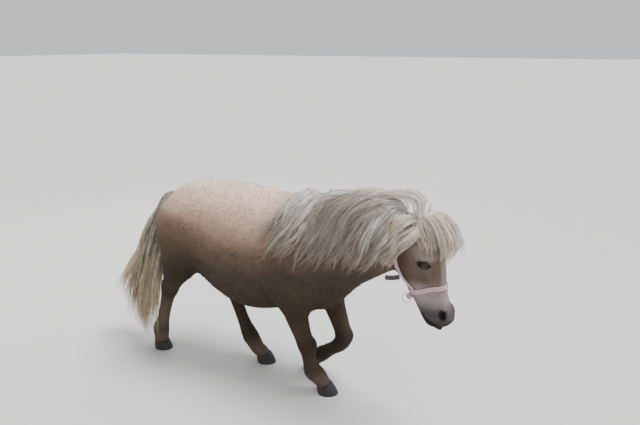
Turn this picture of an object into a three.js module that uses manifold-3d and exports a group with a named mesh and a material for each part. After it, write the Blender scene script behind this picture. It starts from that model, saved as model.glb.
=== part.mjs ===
// A life-size Shetland pony, walking, with its head a little low and turned to its right,
// mane, forelock and tail blown back, in a webbing head collar.
// Millimetres. +X is the pony's front, +Y its left, +Z up. The ground is z = 0.

import * as THREE from 'three';
import { mergeVertices } from 'three/addons/utils/BufferGeometryUtils.js';
import Module from 'manifold-3d';

const wasm = await Module();
wasm.setup();

// Driving sizes
const gap = 0.3;                  // room kept between pieces that meet
const floorLevel = 0;
const headTurn = -11;             // degrees, towards the pony's right
const faceTilt = -11;             // degrees from upright, nose forward
const eyeLevel = new THREE.Vector3(862, -121, 756);   // centre of the head between the eyes
const eyeRadius = 22;
const eyePlace = { x: 10, y: 60, z: 9 };              // from the centre of the head
const earLength = 96;
const hoofHeight = 52;
const webbing = { width: 20, thick: 2.4, clear: 0.9 };
const ringWire = 4.4;
const squareRing = 27;            // outer side of the square side rings
const leadRing = 20;              // radius of the round ring, to the middle of its wire
const ringDrop = 12;              // from the strap that carries it to its middle

const v3 = (x, y, z) => new THREE.Vector3(x, y, z);
const lerp = THREE.MathUtils.lerp;
const clamp = THREE.MathUtils.clamp;
const radians = THREE.MathUtils.degToRad;

// Solids

function closedGeometry(positions, indices) {
  const geometry = new THREE.BufferGeometry();
  geometry.setAttribute('position', new THREE.Float32BufferAttribute(positions, 3));
  geometry.setIndex(indices);
  return geometry;
}

function toSolid(source) {
  let geometry = source.clone();
  geometry.deleteAttribute('normal');
  geometry.deleteAttribute('uv');
  geometry = mergeVertices(geometry, 1e-3);
  const mesh = new wasm.Mesh({
    numProp: 3,
    vertProperties: new Float32Array(geometry.attributes.position.array),
    triVerts: new Uint32Array(geometry.index.array),
  });
  const solid = new wasm.Manifold(mesh);
  return solid.volume() < 0 ? toSolid(flipped(geometry)) : solid;
}

function flipped(geometry) {
  const index = geometry.index.array;
  const turned = [];
  for (let i = 0; i < index.length; i += 3) turned.push(index[i], index[i + 2], index[i + 1]);
  return closedGeometry(geometry.attributes.position.array, turned);
}

function toGeometry(solid) {
  const mesh = solid.getMesh();
  const geometry = closedGeometry(mesh.vertProperties, [...mesh.triVerts]);
  const flat = geometry.toNonIndexed();
  flat.computeVertexNormals();
  return flat;
}

// Only the largest closed body of a solid is kept.
function largest(solid) {
  const bodies = solid.decompose();
  return bodies.reduce((best, body) => (body.volume() > best.volume() ? body : best));
}

function union(solids) {
  let row = solids;
  while (row.length > 1) {
    const next = [];
    for (let i = 0; i < row.length; i += 2) {
      next.push(i + 1 < row.length ? row[i].add(row[i + 1]) : row[i]);
    }
    row = next;
  }
  return row[0];
}

function block(size, center, turn = [0, 0, 0]) {
  const geometry = new THREE.BoxGeometry(size[0], size[1], size[2]);
  geometry.applyMatrix4(new THREE.Matrix4().makeRotationFromEuler(
    new THREE.Euler(radians(turn[0]), radians(turn[1]), radians(turn[2]))));
  geometry.translate(center.x, center.y, center.z);
  return toSolid(geometry);
}

// A skin over rings of equal count, closed at both ends by a fan to the ring's middle.
function ringSkin(rings) {
  const sides = rings[0].length;
  const positions = [];
  const indices = [];
  rings.forEach((ring) => ring.forEach((p) => positions.push(p.x, p.y, p.z)));
  for (let r = 0; r + 1 < rings.length; r += 1) {
    for (let s = 0; s < sides; s += 1) {
      const a = r * sides + s;
      const b = r * sides + ((s + 1) % sides);
      indices.push(a, b, b + sides, a, b + sides, a + sides);
    }
  }
  [0, rings.length - 1].forEach((r) => {
    const middle = v3(0, 0, 0);
    rings[r].forEach((p) => middle.addScaledVector(p, 1 / sides));
    const m = positions.length / 3;
    positions.push(middle.x, middle.y, middle.z);
    for (let s = 0; s < sides; s += 1) {
      const a = r * sides + s;
      const b = r * sides + ((s + 1) % sides);
      if (r === 0) indices.push(m, b, a);
      else indices.push(m, a, b);
    }
  });
  return closedGeometry(positions, indices);
}

// Smooth value between the stations of a table, by a Catmull-Rom curve through them.
function between(a, b, c, d, t) {
  const t2 = t * t;
  const t3 = t2 * t;
  return 0.5 * (2 * b + (c - a) * t + (2 * a - 5 * b + 4 * c - d) * t2 + (3 * b - a - 3 * c + d) * t3);
}

function stationAt(table, place) {
  const last = table.length - 1;
  const i = clamp(Math.floor(place), 0, last - 1);
  const t = clamp(place - i, 0, 1);
  const rows = [i - 1, i, i + 1, i + 2].map((k) => table[clamp(k, 0, last)]);
  const mix = {};
  Object.keys(rows[1]).forEach((key) => {
    mix[key] = between(rows[0][key], rows[1][key], rows[2][key], rows[3][key], t);
  });
  return mix;
}

// Body forms. Each is a function of a place along it and an angle round it, so that the skin,
// the lie of the locks and what rests on it all come from the same numbers.
// An angle of 0 is the left side, 90 degrees the top or front.

function roundPower(value, power) {
  return Math.sign(value) * Math.abs(value) ** power;
}

// Torso: sections across X, from the rump to the chest.
const torsoTable = [
  { x: -536, top: 770, low: 690, half: 40, wide: 725 },
  { x: -525, top: 822, low: 640, half: 88, wide: 730 },
  { x: -498, top: 868, low: 590, half: 134, wide: 735 },
  { x: -450, top: 912, low: 530, half: 176, wide: 735 },
  { x: -385, top: 940, low: 478, half: 202, wide: 730 },
  { x: -300, top: 953, low: 430, half: 212, wide: 715 },
  { x: -200, top: 955, low: 385, half: 217, wide: 680 },
  { x: -100, top: 952, low: 354, half: 224, wide: 645 },
  { x: 0, top: 944, low: 346, half: 224, wide: 640 },
  { x: 100, top: 932, low: 364, half: 212, wide: 650 },
  { x: 190, top: 932, low: 384, half: 192, wide: 660 },
  { x: 270, top: 940, low: 392, half: 172, wide: 655 },
  { x: 340, top: 880, low: 402, half: 150, wide: 630 },
  { x: 395, top: 760, low: 432, half: 118, wide: 590 },
  { x: 428, top: 660, low: 480, half: 72, wide: 565 },
  { x: 440, top: 610, low: 520, half: 34, wide: 560 },
];

function torsoPoint(place, angle, grow = 0) {
  const s = stationAt(torsoTable, place);
  const c = Math.cos(angle);
  const n = Math.sin(angle);
  const rise = n > 0 ? s.top - s.wide : s.wide - s.low;
  const power = n > 0 ? 0.86 : 0.94;
  return v3(s.x, (s.half + grow) * roundPower(c, power), s.wide + (rise + grow) * roundPower(n, power));
}

// Neck: sections from the crest to the underside, which lean with the neck.
const neckTable = [
  { topX: 215, topZ: 925, lowX: 385, lowZ: 455, y: 0, half: 172 },
  { topX: 310, topZ: 946, lowX: 452, lowZ: 506, y: -4, half: 156 },
  { topX: 400, topZ: 956, lowX: 520, lowZ: 556, y: -16, half: 126 },
  { topX: 490, topZ: 963, lowX: 584, lowZ: 600, y: -36, half: 107 },
  { topX: 575, topZ: 965, lowX: 640, lowZ: 640, y: -60, half: 94 },
  { topX: 655, topZ: 958, lowX: 688, lowZ: 674, y: -86, half: 86 },
  { topX: 725, topZ: 938, lowX: 735, lowZ: 700, y: -106, half: 79 },
  { topX: 785, topZ: 912, lowX: 790, lowZ: 712, y: -116, half: 72 },
];

function neckPoint(place, angle, grow = 0) {
  const s = stationAt(neckTable, place);
  const turn = radians(headTurn * clamp(place / 6, 0, 1));
  const c = Math.cos(angle);
  const n = Math.sin(angle);
  const along = 0.5 + 0.5 * roundPower(n, 0.92);
  const narrow = 1 - 0.3 * Math.max(0, n) ** 1.5;
  const wide = (s.half + grow) * roundPower(c, 0.92) * narrow;
  const up = v3(s.topX - s.lowX, 0, s.topZ - s.lowZ).normalize();
  const p = v3(lerp(s.lowX, s.topX, along), s.y, lerp(s.lowZ, s.topZ, along));
  p.addScaledVector(up, grow * n);
  return p.add(v3(-Math.sin(turn) * wide, Math.cos(turn) * wide, 0));
}

// Head: sections across its own length, from the poll to the lips. Here x is out of the face,
// y to the left and z up the face from the level of the eyes.
const headTable = [
  { z: 154, front: -4, back: -42, half: 24 },
  { z: 146, front: 14, back: -64, half: 42 },
  { z: 126, front: 36, back: -92, half: 61 },
  { z: 95, front: 52, back: -113, half: 72 },
  { z: 55, front: 62, back: -129, half: 77 },
  { z: 10, front: 64, back: -138, half: 76 },
  { z: -30, front: 62, back: -138, half: 71 },
  { z: -70, front: 59, back: -124, half: 62 },
  { z: -110, front: 58, back: -107, half: 55 },
  { z: -150, front: 60, back: -92, half: 49 },
  { z: -185, front: 66, back: -78, half: 47 },
  { z: -215, front: 71, back: -67, half: 47 },
  { z: -240, front: 65, back: -55, half: 43 },
  { z: -258, front: 48, back: -40, half: 34 },
  { z: -267, front: 28, back: -22, half: 20 },
];

function headPoint(place, angle, grow = 0) {
  const s = stationAt(headTable, place);
  const c = Math.cos(angle);
  const n = Math.sin(angle);
  const middle = lerp(s.back, s.front, 0.42);
  const reach = n > 0 ? s.front - middle : middle - s.back;
  const slim = 1 - 0.14 * Math.max(0, n) ** 2 - 0.1 * Math.max(0, -n) ** 2;
  return v3(
    middle + (reach + grow) * roundPower(n, 0.9),
    (s.half + grow) * roundPower(c, 0.84) * slim,
    s.z,
  );
}

const headFrame = new THREE.Matrix4()
  .makeTranslation(eyeLevel.x, eyeLevel.y, eyeLevel.z)
  .multiply(new THREE.Matrix4().makeRotationZ(radians(headTurn)))
  .multiply(new THREE.Matrix4().makeRotationY(radians(faceTilt)));
const fromHead = (p) => p.clone().applyMatrix4(headFrame);

function formSkin(point, lastPlace, steps, sides, place = (p) => p) {
  const rings = [];
  for (let i = 0; i <= steps; i += 1) {
    const ring = [];
    for (let s = 0; s < sides; s += 1) {
      ring.push(place(point((lastPlace * i) / steps, (2 * Math.PI * s) / sides)));
    }
    rings.push(ring);
  }
  return ringSkin(rings);
}

const torsoForm = () => toSolid(formSkin(torsoPoint, torsoTable.length - 1, 22, 24));
const neckForm = () => toSolid(formSkin(neckPoint, neckTable.length - 1, 12, 20));
const headForm = () => toSolid(formSkin(headPoint, headTable.length - 1, 24, 20, fromHead));

// Limbs: sections across the line of the bone. deep is half the section along the pony's
// length and side half of it across.
const legs = {
  fore_right: [
    { x: 205, y: -108, z: 640, deep: 100, side: 62 },
    { x: 222, y: -120, z: 545, deep: 92, side: 62 },
    { x: 236, y: -124, z: 455, deep: 74, side: 56 },
    { x: 256, y: -121, z: 375, deep: 57, side: 48 },
    { x: 280, y: -117, z: 300, deep: 44, side: 40 },
    { x: 295, y: -111, z: 252, deep: 45, side: 42 },
    { x: 301, y: -106, z: 210, deep: 37, side: 34 },
    { x: 305, y: -98, z: 165, deep: 35, side: 31 },
    { x: 315, y: -84, z: 112, deep: 45, side: 39 },
    { x: 336, y: -72, z: 84, deep: 43, side: 39 },
  ],
  fore_left: [
    { x: 240, y: 100, z: 640, deep: 100, side: 62 },
    { x: 268, y: 108, z: 545, deep: 92, side: 62 },
    { x: 300, y: 104, z: 452, deep: 74, side: 56 },
    { x: 340, y: 96, z: 372, deep: 57, side: 48 },
    { x: 376, y: 90, z: 285, deep: 44, side: 40 },
    { x: 392, y: 88, z: 226, deep: 44, side: 41 },
    { x: 370, y: 88, z: 182, deep: 39, side: 35 },
    { x: 322, y: 89, z: 144, deep: 33, side: 30 },
    { x: 272, y: 90, z: 106, deep: 40, side: 36 },
    { x: 250, y: 90, z: 84, deep: 36, side: 35 },
  ],
  hind_right: [
    { x: -350, y: -122, z: 800, deep: 140, side: 70 },
    { x: -362, y: -138, z: 715, deep: 142, side: 84 },
    { x: -374, y: -144, z: 630, deep: 130, side: 84 },
    { x: -400, y: -138, z: 555, deep: 108, side: 72 },
    { x: -440, y: -126, z: 490, deep: 80, side: 56 },
    { x: -474, y: -116, z: 430, deep: 58, side: 44 },
    { x: -502, y: -109, z: 378, deep: 52, side: 39 },
    { x: -526, y: -102, z: 325, deep: 38, side: 34 },
    { x: -557, y: -91, z: 250, deep: 33, side: 30 },
    { x: -586, y: -79, z: 180, deep: 35, side: 31 },
    { x: -613, y: -68, z: 124, deep: 44, side: 39 },
    { x: -621, y: -62, z: 86, deep: 42, side: 38 },
  ],
  hind_left: [
    { x: -330, y: 122, z: 800, deep: 140, side: 70 },
    { x: -312, y: 138, z: 715, deep: 142, side: 84 },
    { x: -290, y: 144, z: 630, deep: 132, side: 84 },
    { x: -272, y: 138, z: 555, deep: 110, side: 72 },
    { x: -264, y: 124, z: 490, deep: 80, side: 56 },
    { x: -268, y: 112, z: 425, deep: 58, side: 44 },
    { x: -266, y: 104, z: 368, deep: 52, side: 39 },
    { x: -242, y: 97, z: 314, deep: 38, side: 34 },
    { x: -209, y: 88, z: 246, deep: 33, side: 30 },
    { x: -174, y: 79, z: 180, deep: 35, side: 31 },
    { x: -139, y: 72, z: 126, deep: 44, side: 39 },
    { x: -112, y: 69, z: 90, deep: 42, side: 38 },
  ],
};

// Where each hoof stands: the middle of its sole, the way the toe points (degrees to the left
// of straight ahead) and how far it is tipped on its toe.
const hooves = {
  fore_right: { x: 374, y: -58, turn: 9, tip: 0 },
  fore_left: { x: 238, y: 90, turn: 0, tip: 52 },
  hind_right: { x: -620, y: -58, turn: -3, tip: 0 },
  hind_left: { x: -42, y: 66, turn: 2, tip: 0 },
};
const hoofSole = { toe: 56, heel: 40, side: 45 };
const hoofCrown = { toe: 20, heel: 50, side: 37 };   // the coronet, further back than the sole
const crownSlope = 20;                               // degrees, lower at the heel

function hoofFrame(hoof) {
  const frame = new THREE.Matrix4().makeTranslation(hoof.x, hoof.y, floorLevel);
  frame.multiply(new THREE.Matrix4().makeRotationZ(radians(hoof.turn)));
  if (hoof.tip > 0) {
    // Tipped about the toe, which is sunk a little so that the floor cuts a small flat.
    const sunk = 5;
    frame.multiply(new THREE.Matrix4().makeTranslation(0, 0, -sunk));
    frame.multiply(new THREE.Matrix4().makeRotationY(radians(hoof.tip)));
    frame.multiply(new THREE.Matrix4().makeTranslation(-hoofSole.toe, 0, 0));
  }
  return frame;
}

function hoofRing(part, count = 20) {
  const ring = [];
  for (let i = 0; i < count; i += 1) {
    const a = (2 * Math.PI * i) / count;
    const toe = lerp(hoofSole.toe, hoofCrown.toe, part);
    const heel = lerp(hoofSole.heel, hoofCrown.heel, part);
    const side = lerp(hoofSole.side, hoofCrown.side, part);
    const x = Math.cos(a) * (Math.cos(a) > 0 ? toe : heel);
    const y = Math.sin(a) * side;
    const crown = hoofHeight + Math.tan(radians(crownSlope)) * (x - hoofCrown.toe);
    ring.push(v3(x, y, part * crown));
  }
  return ring;
}

function hoofSolid(name) {
  const rings = [0, 0.15, 0.6, 1].map((part) => hoofRing(part));
  const geometry = ringSkin(rings);
  geometry.applyMatrix4(hoofFrame(hooves[name]));
  const below = block([400, 400, 200], v3(hooves[name].x, hooves[name].y, floorLevel - 100));
  return toSolid(geometry).subtract(below);
}

// The limb runs down its stations and ends on the coronet of its hoof.
function limbForm(name) {
  const rows = legs[name];
  const steps = (rows.length - 1) * 2;
  const rings = [];
  for (let i = 0; i <= steps; i += 1) {
    const place = i / 2;
    const s = stationAt(rows, place);
    const before = stationAt(rows, Math.max(0, place - 0.4));
    const after = stationAt(rows, Math.min(rows.length - 1, place + 0.4));
    const along = v3(after.x - before.x, after.y - before.y, after.z - before.z).normalize();
    const across = v3(0, 1, 0).addScaledVector(along, -along.y).normalize();
    const ahead = new THREE.Vector3().crossVectors(across, along).normalize();
    const ring = [];
    for (let k = 0; k < 16; k += 1) {
      const a = (2 * Math.PI * k) / 16;
      ring.push(v3(s.x, s.y, s.z)
        .addScaledVector(ahead, -s.deep * Math.cos(a))
        .addScaledVector(across, s.side * Math.sin(a)));
    }
    rings.push(ring);
  }
  const frame = hoofFrame(hooves[name]);
  const crown = [];
  for (let k = 0; k < 16; k += 1) {
    const a = (2 * Math.PI * k) / 16;
    const x = Math.cos(a) * (Math.cos(a) > 0 ? hoofCrown.toe - 1 : hoofCrown.heel - 1);
    const z = hoofHeight + gap + Math.tan(radians(crownSlope)) * (x - hoofCrown.toe);
    crown.push(v3(x, Math.sin(a) * (hoofCrown.side - 1), z).applyMatrix4(frame));
  }
  rings.push(crown);
  return toSolid(ringSkin(rings));
}

// Parting cuts. A limb is what lies under a slanted plane, higher on the outside than between the
// legs, within upright blocks. Its neighbour loses the same room grown by the gap.
const limbCuts = {
  fore_right: { at: v3(240, -110, 448), side: -1, blocks: [[160, 318, 700], [120, 600, 372]] },
  fore_left: { at: v3(300, 110, 440), side: 1, blocks: [[215, 378, 700], [120, 600, 372]] },
  hind_right: { at: v3(-420, -120, 535), side: -1, blocks: [[-640, -292, 800], [-720, -330, 430]] },
  hind_left: { at: v3(-290, 120, 520), side: 1, blocks: [[-452, -172, 800], [-420, 120, 340]] },
};
const limbCutTilt = 30;           // degrees, across the body
const limbCutRise = 8;            // degrees, higher towards the rear
const halfSpace = 1600;

function limbRoom(name, grow = 0) {
  const limb = limbCuts[name];
  const turn = new THREE.Euler(radians(limb.side * limbCutTilt), radians(limbCutRise), 0);
  const up = v3(0, 0, 1).applyEuler(turn);
  const under = block(
    [halfSpace, halfSpace, halfSpace],
    limb.at.clone().addScaledVector(up, grow - halfSpace / 2),
    [limb.side * limbCutTilt, limbCutRise, 0],
  );
  const middle = gap / 2;
  const upright = limb.blocks.map(([rear, front, top]) => block(
    [front - rear + 2 * grow, 400 - middle + grow, top + 100 + grow],
    v3((front + rear) / 2, (limb.side * (400 + middle - grow)) / 2, (top - 100 + grow) / 2),
  ));
  return union(upright).intersect(under);
}

const neckRegion = { size: [900, 800, 900], center: v3(735, -60, 900), turn: [0, -22, 0] };
const headRegion = { size: [600, 500, 760], center: v3(1046, -150, 740), turn: [0, -3, -11] };
const cut = (r, grow = 0) => block(r.size.map((s) => s + 2 * grow), r.center, r.turn);

const flesh = union([
  torsoForm(), neckForm(), headForm(),
  ...Object.keys(legs).map((name) => limbForm(name)),
]);
const torsoCore = () => {
  let solid = flesh.subtract(cut(neckRegion, gap));
  Object.keys(legs).forEach((name) => { solid = solid.subtract(limbRoom(name, gap)); });
  return largest(solid);
};
const neckCore = () => largest(flesh.intersect(cut(neckRegion)).subtract(cut(headRegion, gap)));
const headCore = () => largest(flesh.intersect(cut(headRegion)));
const limbCore = (name) => largest(flesh.intersect(limbRoom(name)));

// How far a point stands off the flesh, from the same tables. It is close near the surface.

function findPlace(table, ahead) {
  let low = 0;
  let high = table.length - 1;
  for (let i = 0; i < 24; i += 1) {
    const middle = (low + high) / 2;
    if (ahead(stationAt(table, middle)) > 0) low = middle;
    else high = middle;
  }
  return (low + high) / 2;
}

function standOff(across, rise, half, reach, powerAcross, powerRise) {
  const a = (Math.abs(across) / half) ** (2 / powerAcross);
  const b = (Math.abs(rise) / reach) ** (2 / powerRise);
  const ratio = Math.max(1e-3, (a + b) ** ((powerAcross + powerRise) / 4));
  return Math.hypot(across, rise) * (1 - 1 / ratio);
}

function torsoDistance(p) {
  const s = stationAt(torsoTable, findPlace(torsoTable, (row) => p.x - row.x));
  const rise = p.z - s.wide;
  const power = rise > 0 ? 0.86 : 0.94;
  const reach = rise > 0 ? s.top - s.wide : s.wide - s.low;
  return standOff(p.y, rise, s.half, reach, power, power) + Math.max(0, Math.abs(p.x - s.x) - 2);
}

function neckDistance(p) {
  const ahead = (row) => (p.x - row.lowX) * (row.topZ - row.lowZ)
    - (p.z - row.lowZ) * (row.topX - row.lowX);
  const place = findPlace(neckTable, ahead);
  const s = stationAt(neckTable, place);
  const up = v3(s.topX - s.lowX, 0, s.topZ - s.lowZ);
  const reach = up.length() / 2;
  up.normalize();
  const middle = v3((s.topX + s.lowX) / 2, s.y, (s.topZ + s.lowZ) / 2);
  const offset = p.clone().sub(middle);
  const rise = offset.dot(up);
  const narrow = 1 - 0.3 * clamp(rise / reach, 0, 1) ** 1.5;
  const beyond = Math.hypot(offset.x - up.x * rise, offset.z - up.z * rise);
  return standOff(offset.y, rise, s.half * narrow, reach, 0.92, 0.92) + Math.max(0, beyond - 25);
}

const toHead = headFrame.clone().invert();

function headDistance(point) {
  const p = point.clone().applyMatrix4(toHead);
  const s = stationAt(headTable, findPlace(headTable, (row) => row.z - p.z));
  const middle = lerp(s.back, s.front, 0.42);
  const rise = p.x - middle;
  const reach = rise > 0 ? s.front - middle : middle - s.back;
  const n = clamp(rise / reach, -1, 1);
  const slim = 1 - 0.14 * Math.max(0, n) ** 2 - 0.1 * Math.max(0, -n) ** 2;
  return standOff(p.y, rise, s.half * slim, reach, 0.84, 0.9) + Math.max(0, Math.abs(p.z - s.z) - 2);
}

const fleshDistance = (p) => Math.min(torsoDistance(p), neckDistance(p), headDistance(p));

function outward(p, distance = fleshDistance) {
  const step = 3;
  const slope = ['x', 'y', 'z'].map((axis) => {
    const more = p.clone();
    const less = p.clone();
    more[axis] += step;
    less[axis] -= step;
    return distance(more) - distance(less);
  });
  return v3(...slope).normalize();
}

// Moves a point out (or in) until it stands at a given height off the flesh.
function liftTo(p, height, distance = fleshDistance, onlyOut = false) {
  for (let i = 0; i < 5; i += 1) {
    const missing = height - distance(p);
    if (onlyOut && missing < 0) return p;
    if (Math.abs(missing) < 0.3) return p;
    p.addScaledVector(outward(p, distance), clamp(missing, -40, 40));
  }
  return p;
}

// A strip of oblong section along points, with its flat side to a given normal at each.
function strip(points, normals, width, thick) {
  const rings = points.map((p, i) => {
    const before = points[Math.max(0, i - 1)];
    const after = points[Math.min(points.length - 1, i + 1)];
    const along = after.clone().sub(before).normalize();
    const normal = normals[i].clone().addScaledVector(along, -normals[i].dot(along)).normalize();
    const side = new THREE.Vector3().crossVectors(along, normal);
    const corner = (w, t) => p.clone().addScaledVector(side, w * width / 2)
      .addScaledVector(normal, t * thick / 2);
    return [corner(-1, -1), corner(1, -1), corner(1, 1), corner(-1, 1)];
  });
  return ringSkin(rings);
}

function smoothPath(guides, count) {
  const curve = new THREE.CatmullRomCurve3(guides, false, 'centripetal');
  return curve.getSpacedPoints(count);
}

// Head pieces
const mirrored = (p, side) => v3(p.x, side * Math.abs(p.y), p.z);

function headBall(center, radii, turn = [0, 0, 0], detail = 12) {
  const geometry = new THREE.SphereGeometry(1, detail, Math.round(detail * 0.6));
  geometry.scale(radii[0], radii[1], radii[2]);
  geometry.applyMatrix4(new THREE.Matrix4().makeRotationFromEuler(
    new THREE.Euler(radians(turn[0]), radians(turn[1]), radians(turn[2]))));
  geometry.translate(center.x, center.y, center.z);
  geometry.applyMatrix4(headFrame);
  return toSolid(geometry);
}

const eyeOpening = { long: 26, high: 13 };

function lidRim(side) {
  const rim = new THREE.CatmullRomCurve3([...Array(16).keys()].map((i) => {
    const a = (2 * Math.PI * i) / 16;
    const x = (eyeOpening.long + 1) * Math.cos(a);
    const z = (eyeOpening.high + 1) * Math.sin(a) * (Math.sin(a) > 0 ? 1 : 0.8);
    const out = Math.sqrt(Math.max(0, (eyeRadius + 1.5) ** 2 - x * x * 0.8 - z * z));
    return v3(eyePlace.x + x, side * (eyePlace.y + Math.max(out, 7)), eyePlace.z + z);
  }), true);
  const rings = [];
  const count = 16;
  for (let i = 0; i < count; i += 1) {
    const p = rim.getPointAt(i / count);
    const along = rim.getTangentAt(i / count);
    const out = v3(0, side, 0);
    const across = new THREE.Vector3().crossVectors(along, out).normalize();
    const ring = [];
    for (let k = 0; k < 6; k += 1) {
      const a = (2 * Math.PI * k) / 6;
      ring.push(p.clone().addScaledVector(out, 3 * Math.cos(a)).addScaledVector(across, 3.2 * Math.sin(a)));
    }
    rings.push(ring);
  }
  const positions = [];
  const indices = [];
  rings.forEach((ring) => ring.forEach((p) => positions.push(p.x, p.y, p.z)));
  for (let i = 0; i < count; i += 1) {
    for (let k = 0; k < 6; k += 1) {
      const a = i * 6 + k;
      const b = i * 6 + ((k + 1) % 6);
      const c = ((i + 1) % count) * 6 + k;
      const d = ((i + 1) % count) * 6 + ((k + 1) % 6);
      indices.push(a, b, d, a, d, c);
    }
  }
  const geometry = closedGeometry(positions, indices);
  geometry.applyMatrix4(headFrame);
  return toSolid(geometry);
}

function headShape() {
  const both = [-1, 1];
  const added = [headBall(v3(30, 0, -234), [40, 40, 31]), headBall(v3(-26, 0, -244), [30, 32, 26])];
  const removed = [];
  both.forEach((side) => {
    added.push(headBall(v3(8, side * 50, 16), [56, 31, 42], [0, 0, side * 4]));
    added.push(headBall(v3(42, side * 20, -200), [36, 29, 40], [0, 10, 0]));
    removed.push(headBall(v3(eyePlace.x, side * 86, eyePlace.z),
      [eyeOpening.long, 24, eyeOpening.high]));
    removed.push(headBall(v3(56, side * 46, -205), [9, 17, 16], [0, 24, side * -30]));
  });
  let solid = headCore().add(union(added)).subtract(union(removed));
  both.forEach((side) => {
    solid = solid.add(lidRim(side));
    solid = solid.subtract(headBall(v3(eyePlace.x, side * eyePlace.y, eyePlace.z),
      [eyeRadius + 1, eyeRadius + 1, eyeRadius + 1], [0, 0, 0], 18));
  });
  // The line of the mouth, from its corners to between the lips.
  const slot = new THREE.BoxGeometry(82, 140, 2.6);
  slot.applyMatrix4(new THREE.Matrix4().makeRotationY(radians(56)));
  slot.translate(-4, 0, -236);
  slot.applyMatrix4(headFrame);
  const core = toSolid(formSkin((t, a) => headPoint(t, a, -5), headTable.length - 1, 16, 16, fromHead));
  return largest(solid.subtract(toSolid(slot).subtract(core)));
}

function eyeGeometry() {
  const geometry = new THREE.SphereGeometry(eyeRadius, 16, 10);
  geometry.rotateX(Math.PI / 2);
  return toSolid(geometry);
}

// Ears: leaves with a cup, the near one laid out and back, the far one out to the side.
const ears = {
  right: { base: v3(-26, -42, 138), tip: v3(-32, -80, 229), open: v3(0.35, -0.8, -0.3) },
  left: { base: v3(-8, 40, 140), tip: v3(6, 70, 232), open: v3(0.75, 0.45, -0.3) },
};
const earSections = [
  { t: -0.2, wide: 15, deep: 13, back: 0 },
  { t: 0, wide: 17, deep: 14, back: 0 },
  { t: 0.22, wide: 21, deep: 14, back: 2 },
  { t: 0.45, wide: 21, deep: 12, back: 4 },
  { t: 0.7, wide: 15, deep: 8, back: 4 },
  { t: 0.9, wide: 7, deep: 5, back: 1 },
  { t: 1, wide: 1.4, deep: 1.4, back: -2 },
];

function earFrame(ear) {
  const up = ear.tip.clone().sub(ear.base).normalize();
  const open = ear.open.clone().addScaledVector(up, -ear.open.dot(up)).normalize();
  const across = new THREE.Vector3().crossVectors(up, open);
  return new THREE.Matrix4().makeBasis(open, across, up).setPosition(ear.base);
}

function earLeaf(ear, grow = 0) {
  const rings = earSections.map((s) => {
    const ring = [];
    for (let k = 0; k < 14; k += 1) {
      const a = (2 * Math.PI * k) / 14;
      ring.push(v3((s.deep + grow) * Math.cos(a) - s.back, (s.wide + grow) * Math.sin(a),
        earLength * s.t + (s.t >= 1 ? grow : 0)));
    }
    return ring;
  });
  const geometry = ringSkin(rings);
  geometry.applyMatrix4(earFrame(ear));
  geometry.applyMatrix4(headFrame);
  return toSolid(geometry);
}

function earSolid(ear) {
  const cup = new THREE.SphereGeometry(1, 12, 8);
  cup.scale(12, 15, 34);
  cup.translate(10, 0, earLength * 0.48);
  cup.applyMatrix4(earFrame(ear));
  cup.applyMatrix4(headFrame);
  return largest(earLeaf(ear).subtract(toSolid(cup)).subtract(headGrown));
}

// Head collar: strips of webbing laid over the head, square side rings and a round ring below.
const headAndNeck = (p) => Math.min(headDistance(p), neckDistance(p));

function strapPath(guides, count, fitted = true) {
  const height = webbing.clear + webbing.thick / 2;
  const points = smoothPath(guides.map((g) => fromHead(g)), count);
  if (fitted) points.forEach((p) => liftTo(p, height, headAndNeck));
  return { points, normals: points.map((p) => outward(p, headAndNeck)) };
}

const ringPlace = v3(-82, 40, -114);       // side rings, on the cheek above the mouth corner
const sideRings = [-1, 1].map((side) => {
  const center = liftTo(fromHead(mirrored(ringPlace, side)), ringWire / 2 + 0.8, headAndNeck);
  return { side, center, normal: outward(center, headAndNeck) };
});

const nosebandGuides = [
  v3(-64, -46, -112), v3(-20, -60, -108), v3(34, -46, -102), v3(62, 0, -99),
  v3(34, 46, -102), v3(-20, 60, -108), v3(-64, 46, -112),
];
const headstrapSide = (side) => [
  v3(-94, side * 36, -98), v3(-118, side * 40, -66), v3(-132, side * 44, -30),
  v3(-122, side * 62, 20), v3(-102, side * 68, 70), v3(-88, side * 58, 112), v3(-84, side * 30, 146),
];
const headstrapGuides = [...headstrapSide(-1), v3(-82, 0, 158), ...headstrapSide(1).reverse()];
const chinGuides = [
  v3(-90, -34, -130), v3(-112, -26, -146), v3(-124, 0, -154), v3(-112, 26, -146), v3(-90, 34, -130),
];
const strapEndGuides = [v3(-141, -54, -52), v3(-158, -62, -55), v3(-182, -66, -52)];

const headWay = (x, y, z) => v3(x, y, z).transformDirection(headFrame);
const chinHeart = fromHead(v3(-60, 0, -120));
const straps = {
  halter_noseband: strapPath(nosebandGuides, 22),
  halter_headstrap: strapPath(headstrapGuides, 34),
  halter_chin_strap: strapPath(chinGuides, 14, false),
  halter_strap_end: strapPath(strapEndGuides, 4, false),
};
straps.halter_chin_strap.normals = straps.halter_chin_strap.points.map((p) => (
  p.clone().sub(chinHeart).normalize()));
straps.halter_strap_end.normals = straps.halter_strap_end.points.map(() => headWay(0.1, -1, 0.25));

function strapSolid(path, extra = 0) {
  return toSolid(strip(path.points, path.normals, webbing.width + extra, webbing.thick + extra));
}

function squareRingSolid() {
  const outer = squareRing / 2;
  const inner = outer - ringWire;
  const corners = (r) => [[-r, -r], [r, -r], [r, r], [-r, r]].map(([x, y]) => new THREE.Vector2(x, y));
  const shape = new THREE.Shape(corners(outer));
  shape.holes.push(new THREE.Path(corners(inner).reverse()));
  const geometry = new THREE.ExtrudeGeometry(shape, { depth: ringWire, bevelEnabled: false });
  geometry.translate(0, 0, -ringWire / 2);
  return toSolid(geometry);
}

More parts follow.
